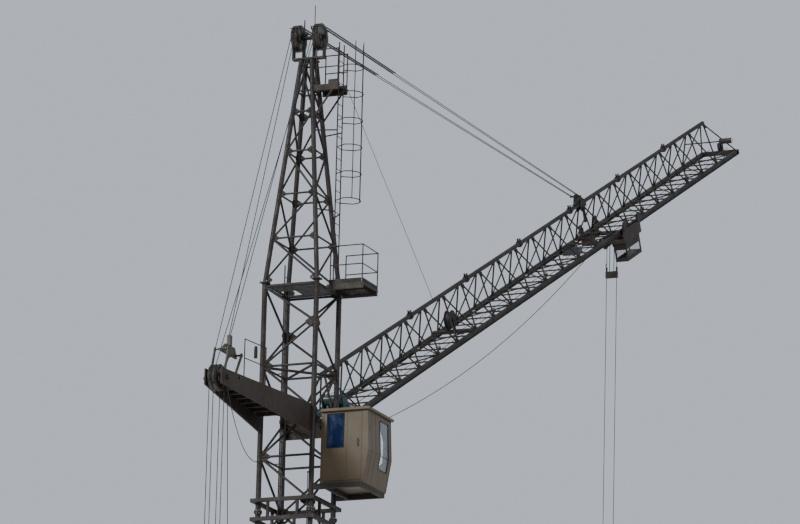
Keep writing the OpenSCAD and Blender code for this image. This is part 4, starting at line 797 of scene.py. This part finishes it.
class CRANE_OT_tower(Operator):
    """Node plates, flange bolts, ladder ties, grating, kick boards, the collar and the leg's cable"""
    bl_idname = "crane.tower"
    bl_label = "Tower pieces"

    def execute(self, context):
        s = sizes()
        self.plates(s)
        self.bolts(s)
        stiles = (1.5, 1.82)
        bm = bmesh.new()
        for i in range(s.bays):
            z = ROOT_Z - i * s.bay_h
            for x in stiles:
                slab(bm, (x - 0.02, 0.56, z - 0.02), (x + 0.02, 0.72, z))
        piece(bm, "ladder_ties", "dark brown enamel", "upperworks")
        self.platform()
        self.collar(s)
        self.cable()
        return {"FINISHED"}

    def plates(self, s):
        """Plates at the nodes of the tower's legs, then of the head's."""
        bm = bmesh.new()
        for k in range(4):
            if k % 2:
                levels = [ROOT_Z - i * s.bay_h for i in range(s.bays)] + [DECK_Z + 0.09, HEAD_Z - 0.09]
            else:
                levels = [ROOT_Z + s.top_bay_h / 2]
                levels += [ROOT_Z - (i - 0.5) * s.bay_h for i in range(1, s.bays + 1)]
            for z in levels:
                rise = 0.17 if DECK_Z + 0.2 < z < HEAD_Z - 0.2 else 0.07
                for other in (k + 1, k - 1):
                    out = (leg_at(other, z) - leg_at(k, z)).normalized()
                    node_plate(bm, leg_at(k, z), out, UP, 0.3, rise)
        for k in range(4):
            for z in (0.08, 1.25, 2.49, 3.7, 4.82):
                for other in (k + 1, k - 1):
                    here = leg_at(k, HEAD_Z + z)
                    out = (leg_at(other, HEAD_Z + z) - here).normalized()
                    run = (leg_at(k, HEAD_Z + z + 0.1) - here).normalized()
                    node_plate(bm, here, out, run, 0.2, 0.12)
        piece(bm, "node_plates", "dark brown enamel", "upperworks")

    def bolts(self, s):
        """Bolts through the legs' flanges, at their feet and at the head's feet."""
        circle, flange = 0.092, 0.03    # radius of the bolt circle, and half the flanges' thickness
        bm = bmesh.new()
        for k in range(4):
            for i in (1, 3, 5):
                for p in ring(leg_at(k, ROOT_Z - (i + 0.5) * s.bay_h - 0.25), AHEAD, LEFT, circle, 8):
                    bolt(bm, p + UP * flange, UP, 0.028)
                    bolt(bm, p - UP * flange, -UP, 0.028, False)
            for foot, half in ((DECK_Z, 0.1), (HEAD_Z, 0.09)):
                for dx in BOTH:
                    for dy in BOTH:
                        bolt(bm, leg_at(k, foot) + Vector((dx * half, dy * half, 0.03)), UP, 0.03)
        piece(bm, "leg_bolts", "galvanised bolts", "upperworks")

    def platform(self):
        """Grating and kick boards of the platform beside the head's foot."""
        low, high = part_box("mid_platform")
        z = HEAD_Z - 0.06
        near, far = -0.8163, -1.8463
        bm = bmesh.new()
        grating(bm, low.x + 0.12, high.x - 0.12, far + 0.05, near - 0.02, z)
        for y in (far + 0.25, far + 0.5, far + 0.75):
            slab(bm, (low.x + 0.1, y - 0.004, z - 0.022), (high.x - 0.12, y + 0.004, z - 0.006))
        slab(bm, (low.x + 0.04, far + 0.004, z + 0.04), (high.x - 0.04, far + 0.01, z + 0.16))
        for x in (low.x + 0.004, high.x - 0.01):
            slab(bm, (x, far + 0.04, z + 0.04), (x + 0.006, near - 0.06, z + 0.16))
        piece(bm, "platform_grating", "dark brown enamel", "upperworks")

    def collar(self, s):
        """Two square frames outside the legs with posts between them, under the cab."""
        inner = s.tower_w / 2 + s.leg_d / 2 - 0.002
        outer = inner + 0.1
        foot = CAB_LOW.z - 0.91
        bm = bmesh.new()
        for z in (foot, foot + 0.5):
            for side in BOTH:
                near, far = sorted((side * inner, side * outer))
                slab(bm, (TOWER_X - outer, near, z), (TOWER_X + outer, far, z + 0.1))
                slab(bm, (TOWER_X + near, -inner, z), (TOWER_X + far, inner, z + 0.1))
        for side in BOTH:
            post = side * (inner + 0.05)
            for e in (-0.42, 0.42):
                for x, y in ((TOWER_X + post, e), (TOWER_X + e, post)):
                    slab(bm, (x - 0.035, y - 0.035, foot + 0.08), (x + 0.035, y + 0.035, foot + 0.52))
        piece(bm, "tower_collar", "dark brown enamel", "upperworks")

    def cable(self):
        """A cable clipped up the first leg."""
        rng = random.Random(7)
        step, end = 0.6, 15.6
        z = DECK_Z + 0.4
        points = [leg_at(0, z) + Vector((-0.09, 0.06, 0))]
        while z < end:
            z += step
            back, side = 0.088 + 0.012 * rng.random(), 0.05 + 0.02 * rng.random()
            points.append(leg_at(0, z) + Vector((-back, side, 0)))
        bm = bmesh.new()
        sweep(bm, points, 0.013)
        for p in points[1::2]:
            turned(bm, p - UP * 0.02, UP, [(0, 0.022), (0.04, 0.022)], 10)
        piece(bm, "leg_cable", "black rubber", "upperworks")


class CRANE_OT_head(Operator):
    """Rope over the head and spacer sheaves, axle nuts, keeper bars, head grating, lamp and hanging cables"""
    bl_idname = "crane.head"
    bl_label = "Head and spacer pieces"

    def execute(self, context):
        r = sizes().rope_d / 2
        over, back = groove_radius(*HEAD_GROOVE), groove_radius(*TAIL_GROOVE)
        eye = Vector((TOWER_X - 4.5, 0, ROOT_Z - 0.52 + 0.4258))
        lug = on_jib(top_at(12.8), 0, 1.28 + 0.058 + 0.23)
        to_tail = tangent(HEAD_AXLE, TAIL_AXLE, over - back, -1) % 360
        to_eye = tangent(HEAD_AXLE, eye, over, -1) % 360
        to_lug = tangent(HEAD_AXLE, lug, over - 2 * r - 0.003, 1)
        for s, side in zip(BOTH, ("right", "left")):
            for e, row, first in ((1, "outer", to_tail), (-1, "inner", to_eye)):
                bm = bmesh.new()
                points = arc(HEAD_AXLE + LEFT * s * (0.31 + e * 0.046), over, first, to_lug, 28)
                sweep(bm, points, r)
                made = piece(bm, f"head_rope_{side}_{row}", "greased wire rope", None)
                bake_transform(made)
        self.tail_ropes(r, back)
        bm = bmesh.new()
        for c, reach, radius, corners in ((HEAD_AXLE, 0.46, 0.055, 6), (TAIL_AXLE, 0.32, 0.05, 20)):
            for s in BOTH:
                turned(bm, c + LEFT * s * reach, LEFT * s,
                       [(0, radius * 1.3), (0.012, radius * 1.3), (0.012, radius), (0.04, radius),
                        (0.048, radius * 0.8)], corners)
        for s in BOTH:
            for x in (-0.3, 0.3):
                p = HEAD_AXLE + Vector((x, s * 0.31, 0.22))
                rod(bm, p - LEFT * 0.15, p + LEFT * 0.15, 0.012)
                plate(bm, [HEAD_AXLE + Vector((q, s * 0.165, z)) for q, z in
                           ((0, 0), (x * 1.05, 0.19), (x * 1.05, 0.25), (0, 0.09))], LEFT * 0.01)
        piece(bm, "axle_nuts_and_keepers", "worn brown enamel", "upperworks")
        self.platform()
        self.lamp()
        self.rear_cable()
        self.jib_lines()
        return {"FINISHED"}

    def tail_ropes(self, r, back):
        """Rope over the spacer's tail sheaves and round the guide sheave, and on to the jib's root."""
        bm = bmesh.new()
        for s in BOTH:
            sweep(bm, arc(TAIL_AXLE + LEFT * s * 0.06, back, 0, 180, 30), r)
        guide = TAIL_AXLE + Vector((0.64, 0, 0.12))
        guide_r = groove_radius(*GUIDE_GROOVE)
        drum = Vector((-1.9, 0, DECK_Z + 0.48))
        to_drum = (tangent(guide, drum, guide_r + 0.1913, 1) + 180) % 360 - 180
        sweep(bm, arc(guide + LEFT * 0.09, guide_r, to_drum, 90), r)
        rod(bm, guide + Vector((0, 0.09, guide_r)), Vector((2.24, 0.09, PIVOT.z + 0.255)), r)
        piece(bm, "spacer_rope_turns", "greased wire rope", "upperworks")

    def platform(self):
        """Kick boards and grating of the head platform."""
        low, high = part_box("head_platform")
        bm = bmesh.new()
        for x in (low.x + 0.003, high.x - 0.009):
            slab(bm, (x, low.y + 0.02, HEAD_FLOOR + 0.04), (x + 0.006, high.y - 0.42, HEAD_FLOOR + 0.16))
        grating(bm, low.x + 0.08, high.x - 0.06, low.y + 0.1, high.y - 0.4, HEAD_FLOOR)
        piece(bm, "head_grating", "dark brown enamel", "upperworks")

    def lamp(self):
        """The warning lamp's box on the spacer's rail."""
        low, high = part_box("spacer_rail")
        box = Vector((low.x + 0.55, low.y + 0.05, high.z - 0.28))
        bm = bmesh.new()
        slab(bm, box - Vector((0.04, 0.04, 0.14)), box + Vector((0.04, 0.04, 0.1)), chamfer=0.01)
        turned(bm, box + UP * 0.1, UP, [(0, 0.045), (0.05, 0.045), (0.08, 0.03)])
        piece(bm, "warning_lamp_box", "dark brown enamel", "upperworks", bevel=0.006)

    def rear_cable(self):
        """The cable from the spacer's tail to the tower's rear left leg."""
        bm = bmesh.new()
        near = Vector((-3.4, -0.2, 17.3))
        spots = (v.co.copy() for v in frame["nodes"]["spacer_frame"].data.vertices)
        start = min(spots, key=lambda v: (v - near).length)
        points = sag(start, leg_at(3, 16.55) - AHEAD * 0.08, 0.6, 40)
        sweep(bm, points, CABLE_D / 2)
        piece(bm, "rear_cable", "black rubber", "upperworks")

    def jib_lines(self):
        """The taut rope from the head platform to the jib, and the cable from the cab's roof."""
        bm = bmesh.new()
        corner = Vector((1.73, -1.02, HEAD_Z + 5.5))
        chord = on_jib(9.67, -0.02, sizes().jib_h + 0.06)
        points = [corner.lerp(chord, i / 40) for i in range(41)]
        sweep(bm, points, 0.008, 6)
        made = piece(bm, "head_to_jib_rope", "greased wire rope", None)
        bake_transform(made)
        bm = bmesh.new()
        roof = Vector((2.0, -2.25, CAB_TOP))
        roller = on_jib(20.71, -0.6, -0.092)
        points = sag(roof, roller, 0.5, 60)
        sweep(bm, points, CABLE_D / 2)
        made = piece(bm, "cab_cable", "black rubber", None)
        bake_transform(made)


# ---- cab ----

def wall_y(z):
    """The bent outer wall of the cab at height z."""
    if z < CAB_BEND:
        return CAB_LOW.y + 0.15 * (CAB_BEND - z) / (CAB_BEND - CAB_LOW.z)
    return CAB_LOW.y + 0.05 * (z - CAB_BEND) / (CAB_HIGH.z - CAB_BEND)


def facing_ahead(x, y0, z0, y1, z1):
    """Corners of an upright rectangle that faces along the crane."""
    return [Vector((x, y, z)) for y, z in ((y0, z0), (y1, z0), (y1, z1), (y0, z1))]


def pane(name, finish, outline, push):
    """One pane of the cab's glass."""
    bm = bmesh.new()
    plate(bm, outline, push)
    made = piece(bm, name, finish, "upperworks", bevel=0.002)
    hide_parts("cab_windows")


def wall_seam(bm, x, levels, proud, radius):
    """A bead up the bent outer wall of the cab, through the levels given."""
    spots = [Vector((x, wall_y(z) - proud, z)) for z in levels]
    for a, b in zip(spots, spots[1:]):
        rod(bm, a, b, radius, 6)


class CRANE_OT_cab(Operator):
    """Window panes, gaskets, door, gutter, lamps, wiper, hand rails, seat and console"""
    bl_idname = "crane.cab"
    bl_label = "Cab pieces"

    def execute(self, context):
        x0, y0, z0 = CAB_LOW
        x1, y1, top = CAB_HIGH
        rear = facing_ahead(x0 + 0.012, y0 + 0.71, z0 + 0.97, y1 - 0.17, top - 0.07)
        front = facing_ahead(x1 - 0.012, y0 + 0.24, z0 + 0.27, y1 - 0.12, top - 0.12)
        levels = (z0 + 0.51, CAB_BEND, top - 0.14)
        edges = ((x1 - 0.75, levels), (x1 - 0.19, levels[::-1]))
        side = [Vector((x, wall_y(z) + 0.012, z)) for x, run in edges for z in run]
        pane("rear_pane", "tinted glass", rear, AHEAD * 0.008)
        pane("front_pane", "tinted glass", front, AHEAD * 0.008)
        pane("side_pane", "clear glass", side, LEFT * 0.008)
        bm = bmesh.new()
        for outline, push in ((rear, AHEAD * -0.01), (front, AHEAD * 0.01), (side, LEFT * -0.01)):
            sweep(bm, [p + push for p in outline], 0.016, 6, closed=True)
        piece(bm, "window_gaskets", "black rubber", "upperworks", angle=60)
        self.bodywork(x0, y0, z0, x1, y1, top)
        self.fittings(x0, y0, z0, x1, y1, top)
        self.inside(x0, z0 + 0.045)
        return {"FINISHED"}

    def bodywork(self, x0, y0, z0, x1, y1, top):
        """The door with its hinges, seams and beads of the sheet steel, the gutter and the roof's hatch."""
        bm = bmesh.new()
        door = facing_ahead(x0 - 0.001, y0 + 0.2, z0 + 0.08, y1 - 0.08, top - 0.04)
        for a, b in zip(door, door[1:] + door[:1]):
            rod(bm, a, b, 0.009, 6)
        middle = Vector((x0 - 0.001, y0 + 0.62, 0))
        rod(bm, middle + UP * (z0 + 0.08), middle + UP * (top - 0.04), 0.008, 6)
        for rise in (0.35, 1.0, 1.6):
            hinge = Vector((x0 - 0.012, y1 - 0.08, z0 + rise))
            rod(bm, hinge - UP * 0.06, hinge + UP * 0.06, 0.014)
        for x in (x0 + 0.004, x1 - 0.004):
            wall_seam(bm, x, (z0 + 0.02, CAB_BEND, top), 0.001, 0.012)
        rod(bm, Vector((x0, y0 - 0.001, CAB_BEND)), Vector((x1, y0 - 0.001, CAB_BEND)), 0.007, 6)
        for x in (x0 + 0.26, x0 + 0.52):
            wall_seam(bm, x, (z0 + 0.06, CAB_BEND, top - 0.03), 0, 0.005)
        slab(bm, (x0 - 0.058, y0 - 0.009, top + 0.045), (x1 + 0.088, y0 + 0.004, top + 0.069))
        slab(bm, (x0 + 0.4, y0 + 0.4, top + 0.06), (x1 - 0.5, y1 - 0.4, top + 0.0695))
        piece(bm, "cab_seams", "beige cab enamel", "upperworks")

    def fittings(self, x0, y0, z0, x1, y1, top):
        """The door's grip, the hand rail, the wiper and two work lamps."""
        bm = bmesh.new()
        sweep(bm, [Vector((x0 - out, y0 + 0.3, z0 + rise)) for out, rise in
                   ((0.002, 0.98), (0.045, 1.0), (0.045, 1.16), (0.002, 1.18))], 0.01)
        sweep(bm, [Vector((x0 + 0.12, wall_y(z0 + level) + out, z0 + rise)) for level, out, rise in
                   ((0.7, 0.002, 0.7), (0.7, -0.001, 0.74), (1.5, 0, 1.5))], 0.009)
        hub = Vector((x1 + 0.008, y0 + 0.6, top - 0.1))
        turned(bm, hub - AHEAD * 0.02, AHEAD, [(0, 0.03), (0.035, 0.03), (0.04, 0.02)])
        rod(bm, hub + Vector((0.01, 0, 0)), hub + Vector((0.01, 0.12, -0.62)), 0.006)
        rod(bm, hub + Vector((0.004, 0.05, -0.86)), hub + Vector((0.004, 0.17, -0.36)), 0.009, 6)
        piece(bm, "cab_grips_and_wiper", "black rubber", "upperworks")
        bowls, lenses = bmesh.new(), bmesh.new()
        aim = Vector((0.3, 0, -1)).normalized()
        for y in (y0 + 0.28, y1 - 0.24):
            c = Vector((x1 + 0.045, y, top - 0.085))
            turned(bowls, c - aim * 0.05, aim,
                   [(0, 0.03), (0.02, 0.06), (0.1, 0.075), (0.1, 0.068), (0.08, 0.064)], 24)
            turned(lenses, c + aim * 0.03, aim,
                   [(0, 0.066), (0.012, 0.066), (0.02, 0.045), (0.023, 0.01)], 24)
            rod(bowls, c - aim * 0.04, Vector((c.x - 0.01, c.y, top + 0.01)), 0.01)
        piece(bowls, "work_lamp_bowls", "dark brown enamel", "upperworks")
        piece(lenses, "work_lamp_lenses", "lamp lens", "upperworks")

    def inside(self, x0, floor):
        """The seat on its post between two consoles with levers."""
        bm = bmesh.new()
        slab(bm, (x0 + 0.5, -1.86, floor + 0.42), (x0 + 1.0, -1.38, floor + 0.52), chamfer=0.06)
        skin(bm, [[Vector((x0 + 0.46 - lean, y, floor + rise)) for y, rise in
                   ((-1.85, 0.5), (-1.39, 0.5), (-1.41, 1.05), (-1.83, 1.05))] for lean in (0.0, 0.1)])
        seat = piece(bm, "operator_seat", "seat vinyl", "upperworks", bevel=0.03)
        bm = bmesh.new()
        turned(bm, Vector((x0 + 0.74, -1.62, floor)), UP,
               [(0, 0.2), (0.02, 0.2), (0.03, 0.06), (0.42, 0.06)], 20)
        for y in (-1.98, -1.26):
            slab(bm, (x0 + 0.55, y - 0.08, floor), (x0 + 1.1, y + 0.08, floor + 0.62), chamfer=0.02)
            rod(bm, Vector((x0 + 0.98, y, floor + 0.6)), Vector((x0 + 1.01, y, floor + 0.8)), 0.012)
            turned(bm, Vector((x0 + 1.005, y, floor + 0.78)), Vector((0.1, 0, 1)),
                   [(0, 0.012), (0.02, 0.028), (0.06, 0.028), (0.08, 0.01)], 14)
        piece(bm, "control_consoles", "black rubber", "upperworks", bevel=0.008)


# ---- jib ----

class CRANE_OT_jib(Operator):
    """Node plates, chord ears, rope rollers, the hoist ropes along the jib and the tip's lamp"""
    bl_idname = "crane.jib"
    bl_label = "Jib pieces"

    def execute(self, context):
        s = sizes()
        bm = bmesh.new()
        for side in BOTH:
            foot, head = Vector((0, side * 0.6, 0.04)), Vector((0, side * CHORD_Y, CHORD_W))
            lean = (head - foot).normalized()
            face = JIB.to_3x3() @ lean.cross(AHEAD).normalized() * s.plate_t
            for i in range(s.jib_bays + 1):
                nodes = ((foot + AHEAD * top_at(i - 0.5), lean, 0.16, 0.1, 0.15),
                         (head + AHEAD * top_at(i), -lean, 0.14, 0.08, 0.16))
                for start, way, wide, narrow, rise in nodes:
                    plate(bm, [JIB @ (start + AHEAD * a + way * b) for a, b in
                               ((-wide, 0.03), (wide, 0.03), (narrow, rise), (-narrow, rise))], face)
        piece(bm, "jib_node_plates", "dark brown enamel", "jib")
        ears, bolts = bmesh.new(), bmesh.new()
        ear = ((-0.07, 1.335), (0.07, 1.335), (0.05, 1.42), (0.02, 1.45), (-0.02, 1.45), (-0.05, 1.42))
        for i in range(3, s.jib_bays, 3):
            u = top_at(i + 0.36)
            for y in (-0.035, 0.035):
                jib_plate(ears, u, y, ear, 0.016)
            turned(bolts, on_jib(u, -0.06, 1.42), LEFT, [(0, 0.02), (0.12, 0.02)], 14)
            for p in ring(on_jib(u + 0.03, 0, s.jib_h), LEFT, OFF_JIB, 0.082, 8, 0.5):
                bolt(bolts, p, ALONG_JIB, 0.022, False)
                bolt(bolts, p - ALONG_JIB * 0.06, -ALONG_JIB, 0.022, False)
        piece(ears, "chord_ears", "worn brown enamel", "jib")
        piece(bolts, "chord_bolts", "galvanised bolts", "jib")
        self.ropes(s)
        self.tip(s)
        self.cable()
        return {"FINISHED"}

    def ropes(self, s):
        """The hoist ropes over their whole run, the rollers under them and the trolley's rope."""
        run_w = HANG_W + FALL_R + 0.004
        way = ((0.3, -0.12), (4.9, -0.12), (5.5, run_w), (JIB_END - 0.4, run_w), (JIB_END - 0.1, -0.11),
               (JIB_END + 0.03, -0.06))
        bm = bmesh.new()
        for y in (-FALL_Y, FALL_Y):
            sweep(bm, [on_jib(u, y, w) for u, w in way], s.rope_d / 2)
        piece(bm, "hoist_rope_runs", "greased wire rope", "jib")
        roller = [(0, 0.02), (0.01, 0.045), (0.09, 0.045), (0.1, 0.02)]
        cheek = ((-0.03, 0.07), (0.03, 0.07), (0.02, 0.14), (-0.02, 0.14))
        bm = bmesh.new()
        for i in range(1, 20, 3):
            u = top_at(i)
            for y in (-0.3, 0.3):
                turned(bm, on_jib(u, y - 0.05, 0.11), LEFT, roller)
                for beside in (y - 0.056, y + 0.056):
                    jib_plate(bm, u, beside, cheek, 0.008)
        piece(bm, "rope_rollers", "greased turned steel", "jib")
        bm = bmesh.new()
        for y in (-0.3, 0.3):
            sweep(bm, [on_jib(top_at(-0.72), y, 0.59), on_jib(top_at(1), y, 0.162),
                       on_jib(JIB_END - 0.02, y, 0.162)], 0.008, 6)
        piece(bm, "trolley_rope", "greased wire rope", "jib")

    def tip(self, s):
        """The lamp at the tip with its bands, the tip's bolts, and the plates beside the stays' lug."""
        lamp_u, lamp_w = top_at(s.jib_bays) - 0.33, s.jib_h - 0.58
        bm = bmesh.new()
        turned(bm, on_jib(lamp_u, -1.061, lamp_w), -LEFT,
               [(0, 0.088), (0.004, 0.086), (0.012, 0.05), (0.014, 0.01)], 28)
        piece(bm, "tip_lamp_lens", "lamp lens", "jib")
        bm = bmesh.new()
        for k in range(5):
            turned(bm, on_jib(lamp_u, -1.02 + k * 0.085, lamp_w), LEFT,
                   [(0, 0.091), (0.012, 0.0945), (0.024, 0.091)], 28)
        for y in (-0.5, -0.3, 0.3, 0.5):
            bolt(bm, on_jib(JIB_END + 0.05, y, 0), ALONG_JIB, 0.03)
        piece(bm, "tip_lamp_bands", "dark brown enamel", "jib")
        bm = bmesh.new()
        for y in (-0.075, 0.075):
            jib_plate(bm, top_at(13), y, ((-0.2, 1.06), (0.17, 1.06), (0.17, 1.31), (0.05, 1.4), (-0.12, 1.4),
                                          (-0.2, 1.31)), 0.012)
        piece(bm, "lug_node_plates", "dark brown enamel", "jib")

    def cable(self):
        """A cable along the left bottom chord, as far as the stays' lug."""
        rng = random.Random(3)
        first, steps = 0.5, 44
        points = [on_jib(first, 0.56, 0.14)]
        for i in range(steps):
            u = first + (top_at(12.6) - first) * (i + 1) / steps
            points.append(on_jib(u, 0.545, 0.1 + 0.016 * rng.random()))
        bm = bmesh.new()
        sweep(bm, points, CABLE_D / 2, 6)
        piece(bm, "jib_cable", "black rubber", "jib")


# ---- trolley and hook ----

class CRANE_OT_trolley(Operator):
    """Rope over the trolley sheaves, axle caps, wheel guards, basket mesh and the weight's lever"""
    bl_idname = "crane.trolley"
    bl_label = "Trolley pieces"

    def execute(self, context):
        reach = FALL_R / ALONG_JIB.x
        slope = math.degrees(math.atan2(ALONG_JIB.z, ALONG_JIB.x))
        for e, name, last in ((1, "sheave_rope_front", 180), (-1, "sheave_rope_rear", 0)):
            points = arc(HANG + ALONG_JIB * e * reach - LEFT * e * FALL_Y, FALL_R, 90 + slope, last, 20)
            bm = bmesh.new()
            sweep(bm, points, sizes().rope_d / 2)
            made = piece(bm, name, "greased wire rope", None)
            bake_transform(made)
        caps, guards = bmesh.new(), bmesh.new()
        for e in BOTH:
            for y in (-0.24 - 0.015, 0.24 - 0.005):
                turned(caps, HANG + ALONG_JIB * e * reach + LEFT * y, LEFT,
                       [(0, 0.05), (0.012, 0.05), (0.012, 0.03), (0.02, 0.028)], 20)
        frame_y, wheel_u = 0.699, 0.67
        for e in BOTH:
            u = TROLLEY_U + e * wheel_u
            for q in BOTH:
                turned(caps, on_jib(u, q * frame_y, -0.02), LEFT * q,
                       [(-0.02, 0.055), (-0.004, 0.055), (-0.002, 0.03)], 20)
                near, far = sorted((q * frame_y, q * 0.74))
                slab(guards, (u - 0.13, near, 0.02), (u + 0.13, far, 0.3), JIB)
        piece(caps, "trolley_axle_caps", "greased turned steel", "trolley")
        piece(guards, "wheel_guards", "dark brown enamel", "trolley")
        self.basket()
        self.lever()
        return {"FINISHED"}

    def basket(self):
        """Wire mesh on two sides of the basket, its floor plate and its straps."""
        x0, x1 = TROLLEY_U - 0.52, TROLLEY_U + 0.75
        y0, y1 = -0.63, -0.23
        bm = bmesh.new()
        for y in (y0 + 0.02, y1 - 0.02):
            u = x0
            while u < x1:
                rod(bm, on_jib(u, y, -0.87), on_jib(u, y, -0.59), 0.003, 4)
                u += 0.05
            for i in range(6):
                w = -0.83 + 0.04 * i
                rod(bm, on_jib(x0, y, w), on_jib(x1, y, w), 0.003, 4)
        piece(bm, "basket_mesh", "galvanised bolts", "trolley")
        bm = bmesh.new()
        for u in (x0 + 0.3, x0 + 0.64, x0 + 0.98):
            slab(bm, (u - 0.02, y0 + 0.006, -0.6), (u + 0.02, y0 + 0.012, -0.37), JIB)
        slab(bm, (x0, y0 + 0.03, -0.939), (x1, y1 - 0.03, -0.935), JIB)
        piece(bm, "basket_floor_plate", "deck chequer plate", "trolley")

    def lever(self):
        """The bent lever on the limit weight, and the weight's bolts."""
        base = HANG + Vector((-0.03, 0.14, -0.98))
        bm = bmesh.new()
        bends = ((0, 0, 0), (-0.02, 0.005, 0.07), (-0.024, 0.03, 0.12), (-0.02, 0.042, 0.17),
                 (-0.01, 0.034, 0.22), (0, 0.03, 0.25))
        sweep(bm, [base + Vector(p) for p in bends], 0.009)
        for y in (-0.12, 0.12):
            for x in (0.06, -0.06):
                bolt(bm, HANG + Vector((x, y, -1.08)), AHEAD * x, 0.026)
        piece(bm, "weight_lever", "worn brown enamel", "hanger")


class CRANE_OT_hook(Operator):
    """Rope round the block's sheave, the falls, the block's bolts and the hook's latch"""
    bl_idname = "crane.hook"
    bl_label = "Hook pieces"

    def execute(self, context):
        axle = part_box("hook_block")[1].z - 0.11
        bm = bmesh.new()
        sweep(bm, [Vector((HANG.x, FALL_Y * math.cos(a), axle + FALL_Y * math.sin(a)))
                   for a in (math.pi + math.pi * i / 28 for i in range(29))], sizes().rope_d / 2)
        piece(bm, "block_rope", "greased wire rope", "hook_unit")
        self.falls()
        bm = bmesh.new()
        for s in BOTH:
            for y, rise in ((-0.09, -0.36), (0.09, -0.36), (-0.1, 0.07), (0.1, 0.07)):
                bolt(bm, Vector((HANG.x + s * 0.062, y, axle + rise)), AHEAD * s, 0.02)
        piece(bm, "block_bolts", "galvanised bolts", "hook_unit")
        bm = bmesh.new()
        throat = axle - 0.6753
        a, b = Vector((HANG.x - 0.05, 0, throat + 0.1)), Vector((HANG.x - 0.1, 0, throat - 0.02))
        for y in (-0.024, 0.024):
            plate(bm, [a + Vector((-0.02, y, 0.01)), a + Vector((0.02, y, 0.01)), b + Vector((0.012, y, 0)),
                       b + Vector((-0.012, y, 0))], LEFT * 0.004)
        rod(bm, a - LEFT * 0.03, a + LEFT * 0.03, 0.008)
        piece(bm, "hook_latch", "galvanised bolts", "hook_unit")
        return {"FINISHED"}

    def falls(self):
        """The two falls from the weight to the block."""
        low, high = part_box("hoist_ropes")
        r = sizes().rope_d / 2
        bm = bmesh.new()
        for y in (low.y + r, high.y - r):
            rod(bm, Vector((HANG.x, y, low.z)), Vector((HANG.x, y, high.z)), r)
        made = piece(bm, "hoist_falls", "greased wire rope", "hanger")
        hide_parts("hoist_ropes")
        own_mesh(made)


# ---- stage ----

class CRANE_OT_stage(Operator):
    """The studio floor, the even light, the sun and the camera"""
    bl_idname = "crane.stage"
    bl_label = "Floor, light and camera"

    def execute(self, context):
        reach, thick = 45, 0.2
        bm = bmesh.new()
        turned(bm, UP * -thick, UP, [(0, reach), (thick, reach)], 96)
        floor = piece(bm, "studio_floor", "floor paint", None)
        world = bpy.data.worlds.new("studio light")
        context.scene.world = world
        world.use_nodes = True
        fill(world.node_tree.nodes["Background"], Color=shade(colours().sky), Strength=1.0)
        for name, strength, spread, turn in (("key", 3.2, 14, (58, 0, -118)),
                                             ("fill", 0.9, 40, (75, 0, -20))):
            light = bpy.data.lights.new(name, "SUN")
            light.energy = strength
            light.angle = math.radians(spread)
            lamp = bpy.data.objects.new(name, light)
            lamp.rotation_euler = [math.radians(a) for a in turn]
            context.scene.collection.objects.link(lamp)
        self.camera(context, sizes())
        return {"FINISHED"}

    def camera(self, context, s):
        """The camera at the photograph's viewing angle, turned by its heading, rise and roll."""
        camera = bpy.data.cameras.new("camera")
        camera.lens = s.lens
        camera.sensor_width = 36
        camera.clip_end = 1000
        view = bpy.data.objects.new("camera", camera)
        heading, rise, roll = (math.radians(a) for a in (22.86, 14.73, 1.40))
        aim = Vector((math.cos(heading) * math.cos(rise), math.sin(heading) * math.cos(rise), math.sin(rise)))
        right = Vector((math.sin(heading), -math.cos(heading), 0))
        up = right.cross(aim)
        x = right * math.cos(roll) + up * math.sin(roll)
        y = up * math.cos(roll) - right * math.sin(roll)
        place = Matrix.Translation((s.camera_x, s.camera_y, s.camera_z))
        view.matrix_world = place @ Matrix((x, y, -aim)).transposed().to_4x4()
        context.scene.collection.objects.link(view)
        context.scene.camera = view


STEPS = [CRANE_OT_finishes, CRANE_OT_undercarriage, CRANE_OT_platform, CRANE_OT_tower, CRANE_OT_head,
         CRANE_OT_cab, CRANE_OT_jib, CRANE_OT_trolley, CRANE_OT_hook, CRANE_OT_stage]


class CRANE_PT_pieces(Panel):
    """Lists the crane's sizes, colours and pieces"""
    bl_idname = "CRANE_PT_pieces"
    bl_label = "Tower crane"
    bl_space_type = "VIEW_3D"
    bl_region_type = "UI"
    bl_category = "Crane"

    def draw(self, context):
        for step in STEPS:
            self.layout.operator(step.bl_idname)
        for group in (context.scene.crane_sizes, context.scene.crane_colours):
            box = self.layout.box()
            for name in group.__annotations__:
                box.prop(group, name)


CLASSES = [CraneColours, CraneSizes, *STEPS, CRANE_PT_pieces]


def register():
    for cls in CLASSES:
        bpy.utils.register_class(cls)
    bpy.types.Scene.crane_sizes = PointerProperty(type=CraneSizes)
    bpy.types.Scene.crane_colours = PointerProperty(type=CraneColours)


def unregister():
    del bpy.types.Scene.crane_colours
    del bpy.types.Scene.crane_sizes
    for cls in reversed(CLASSES):
        bpy.utils.unregister_class(cls)


def main():
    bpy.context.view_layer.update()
    register()
    for step in STEPS:
        group, name = step.bl_idname.split(".")
        getattr(getattr(bpy.ops, group), name)()


if __name__ == "__main__":
    main()
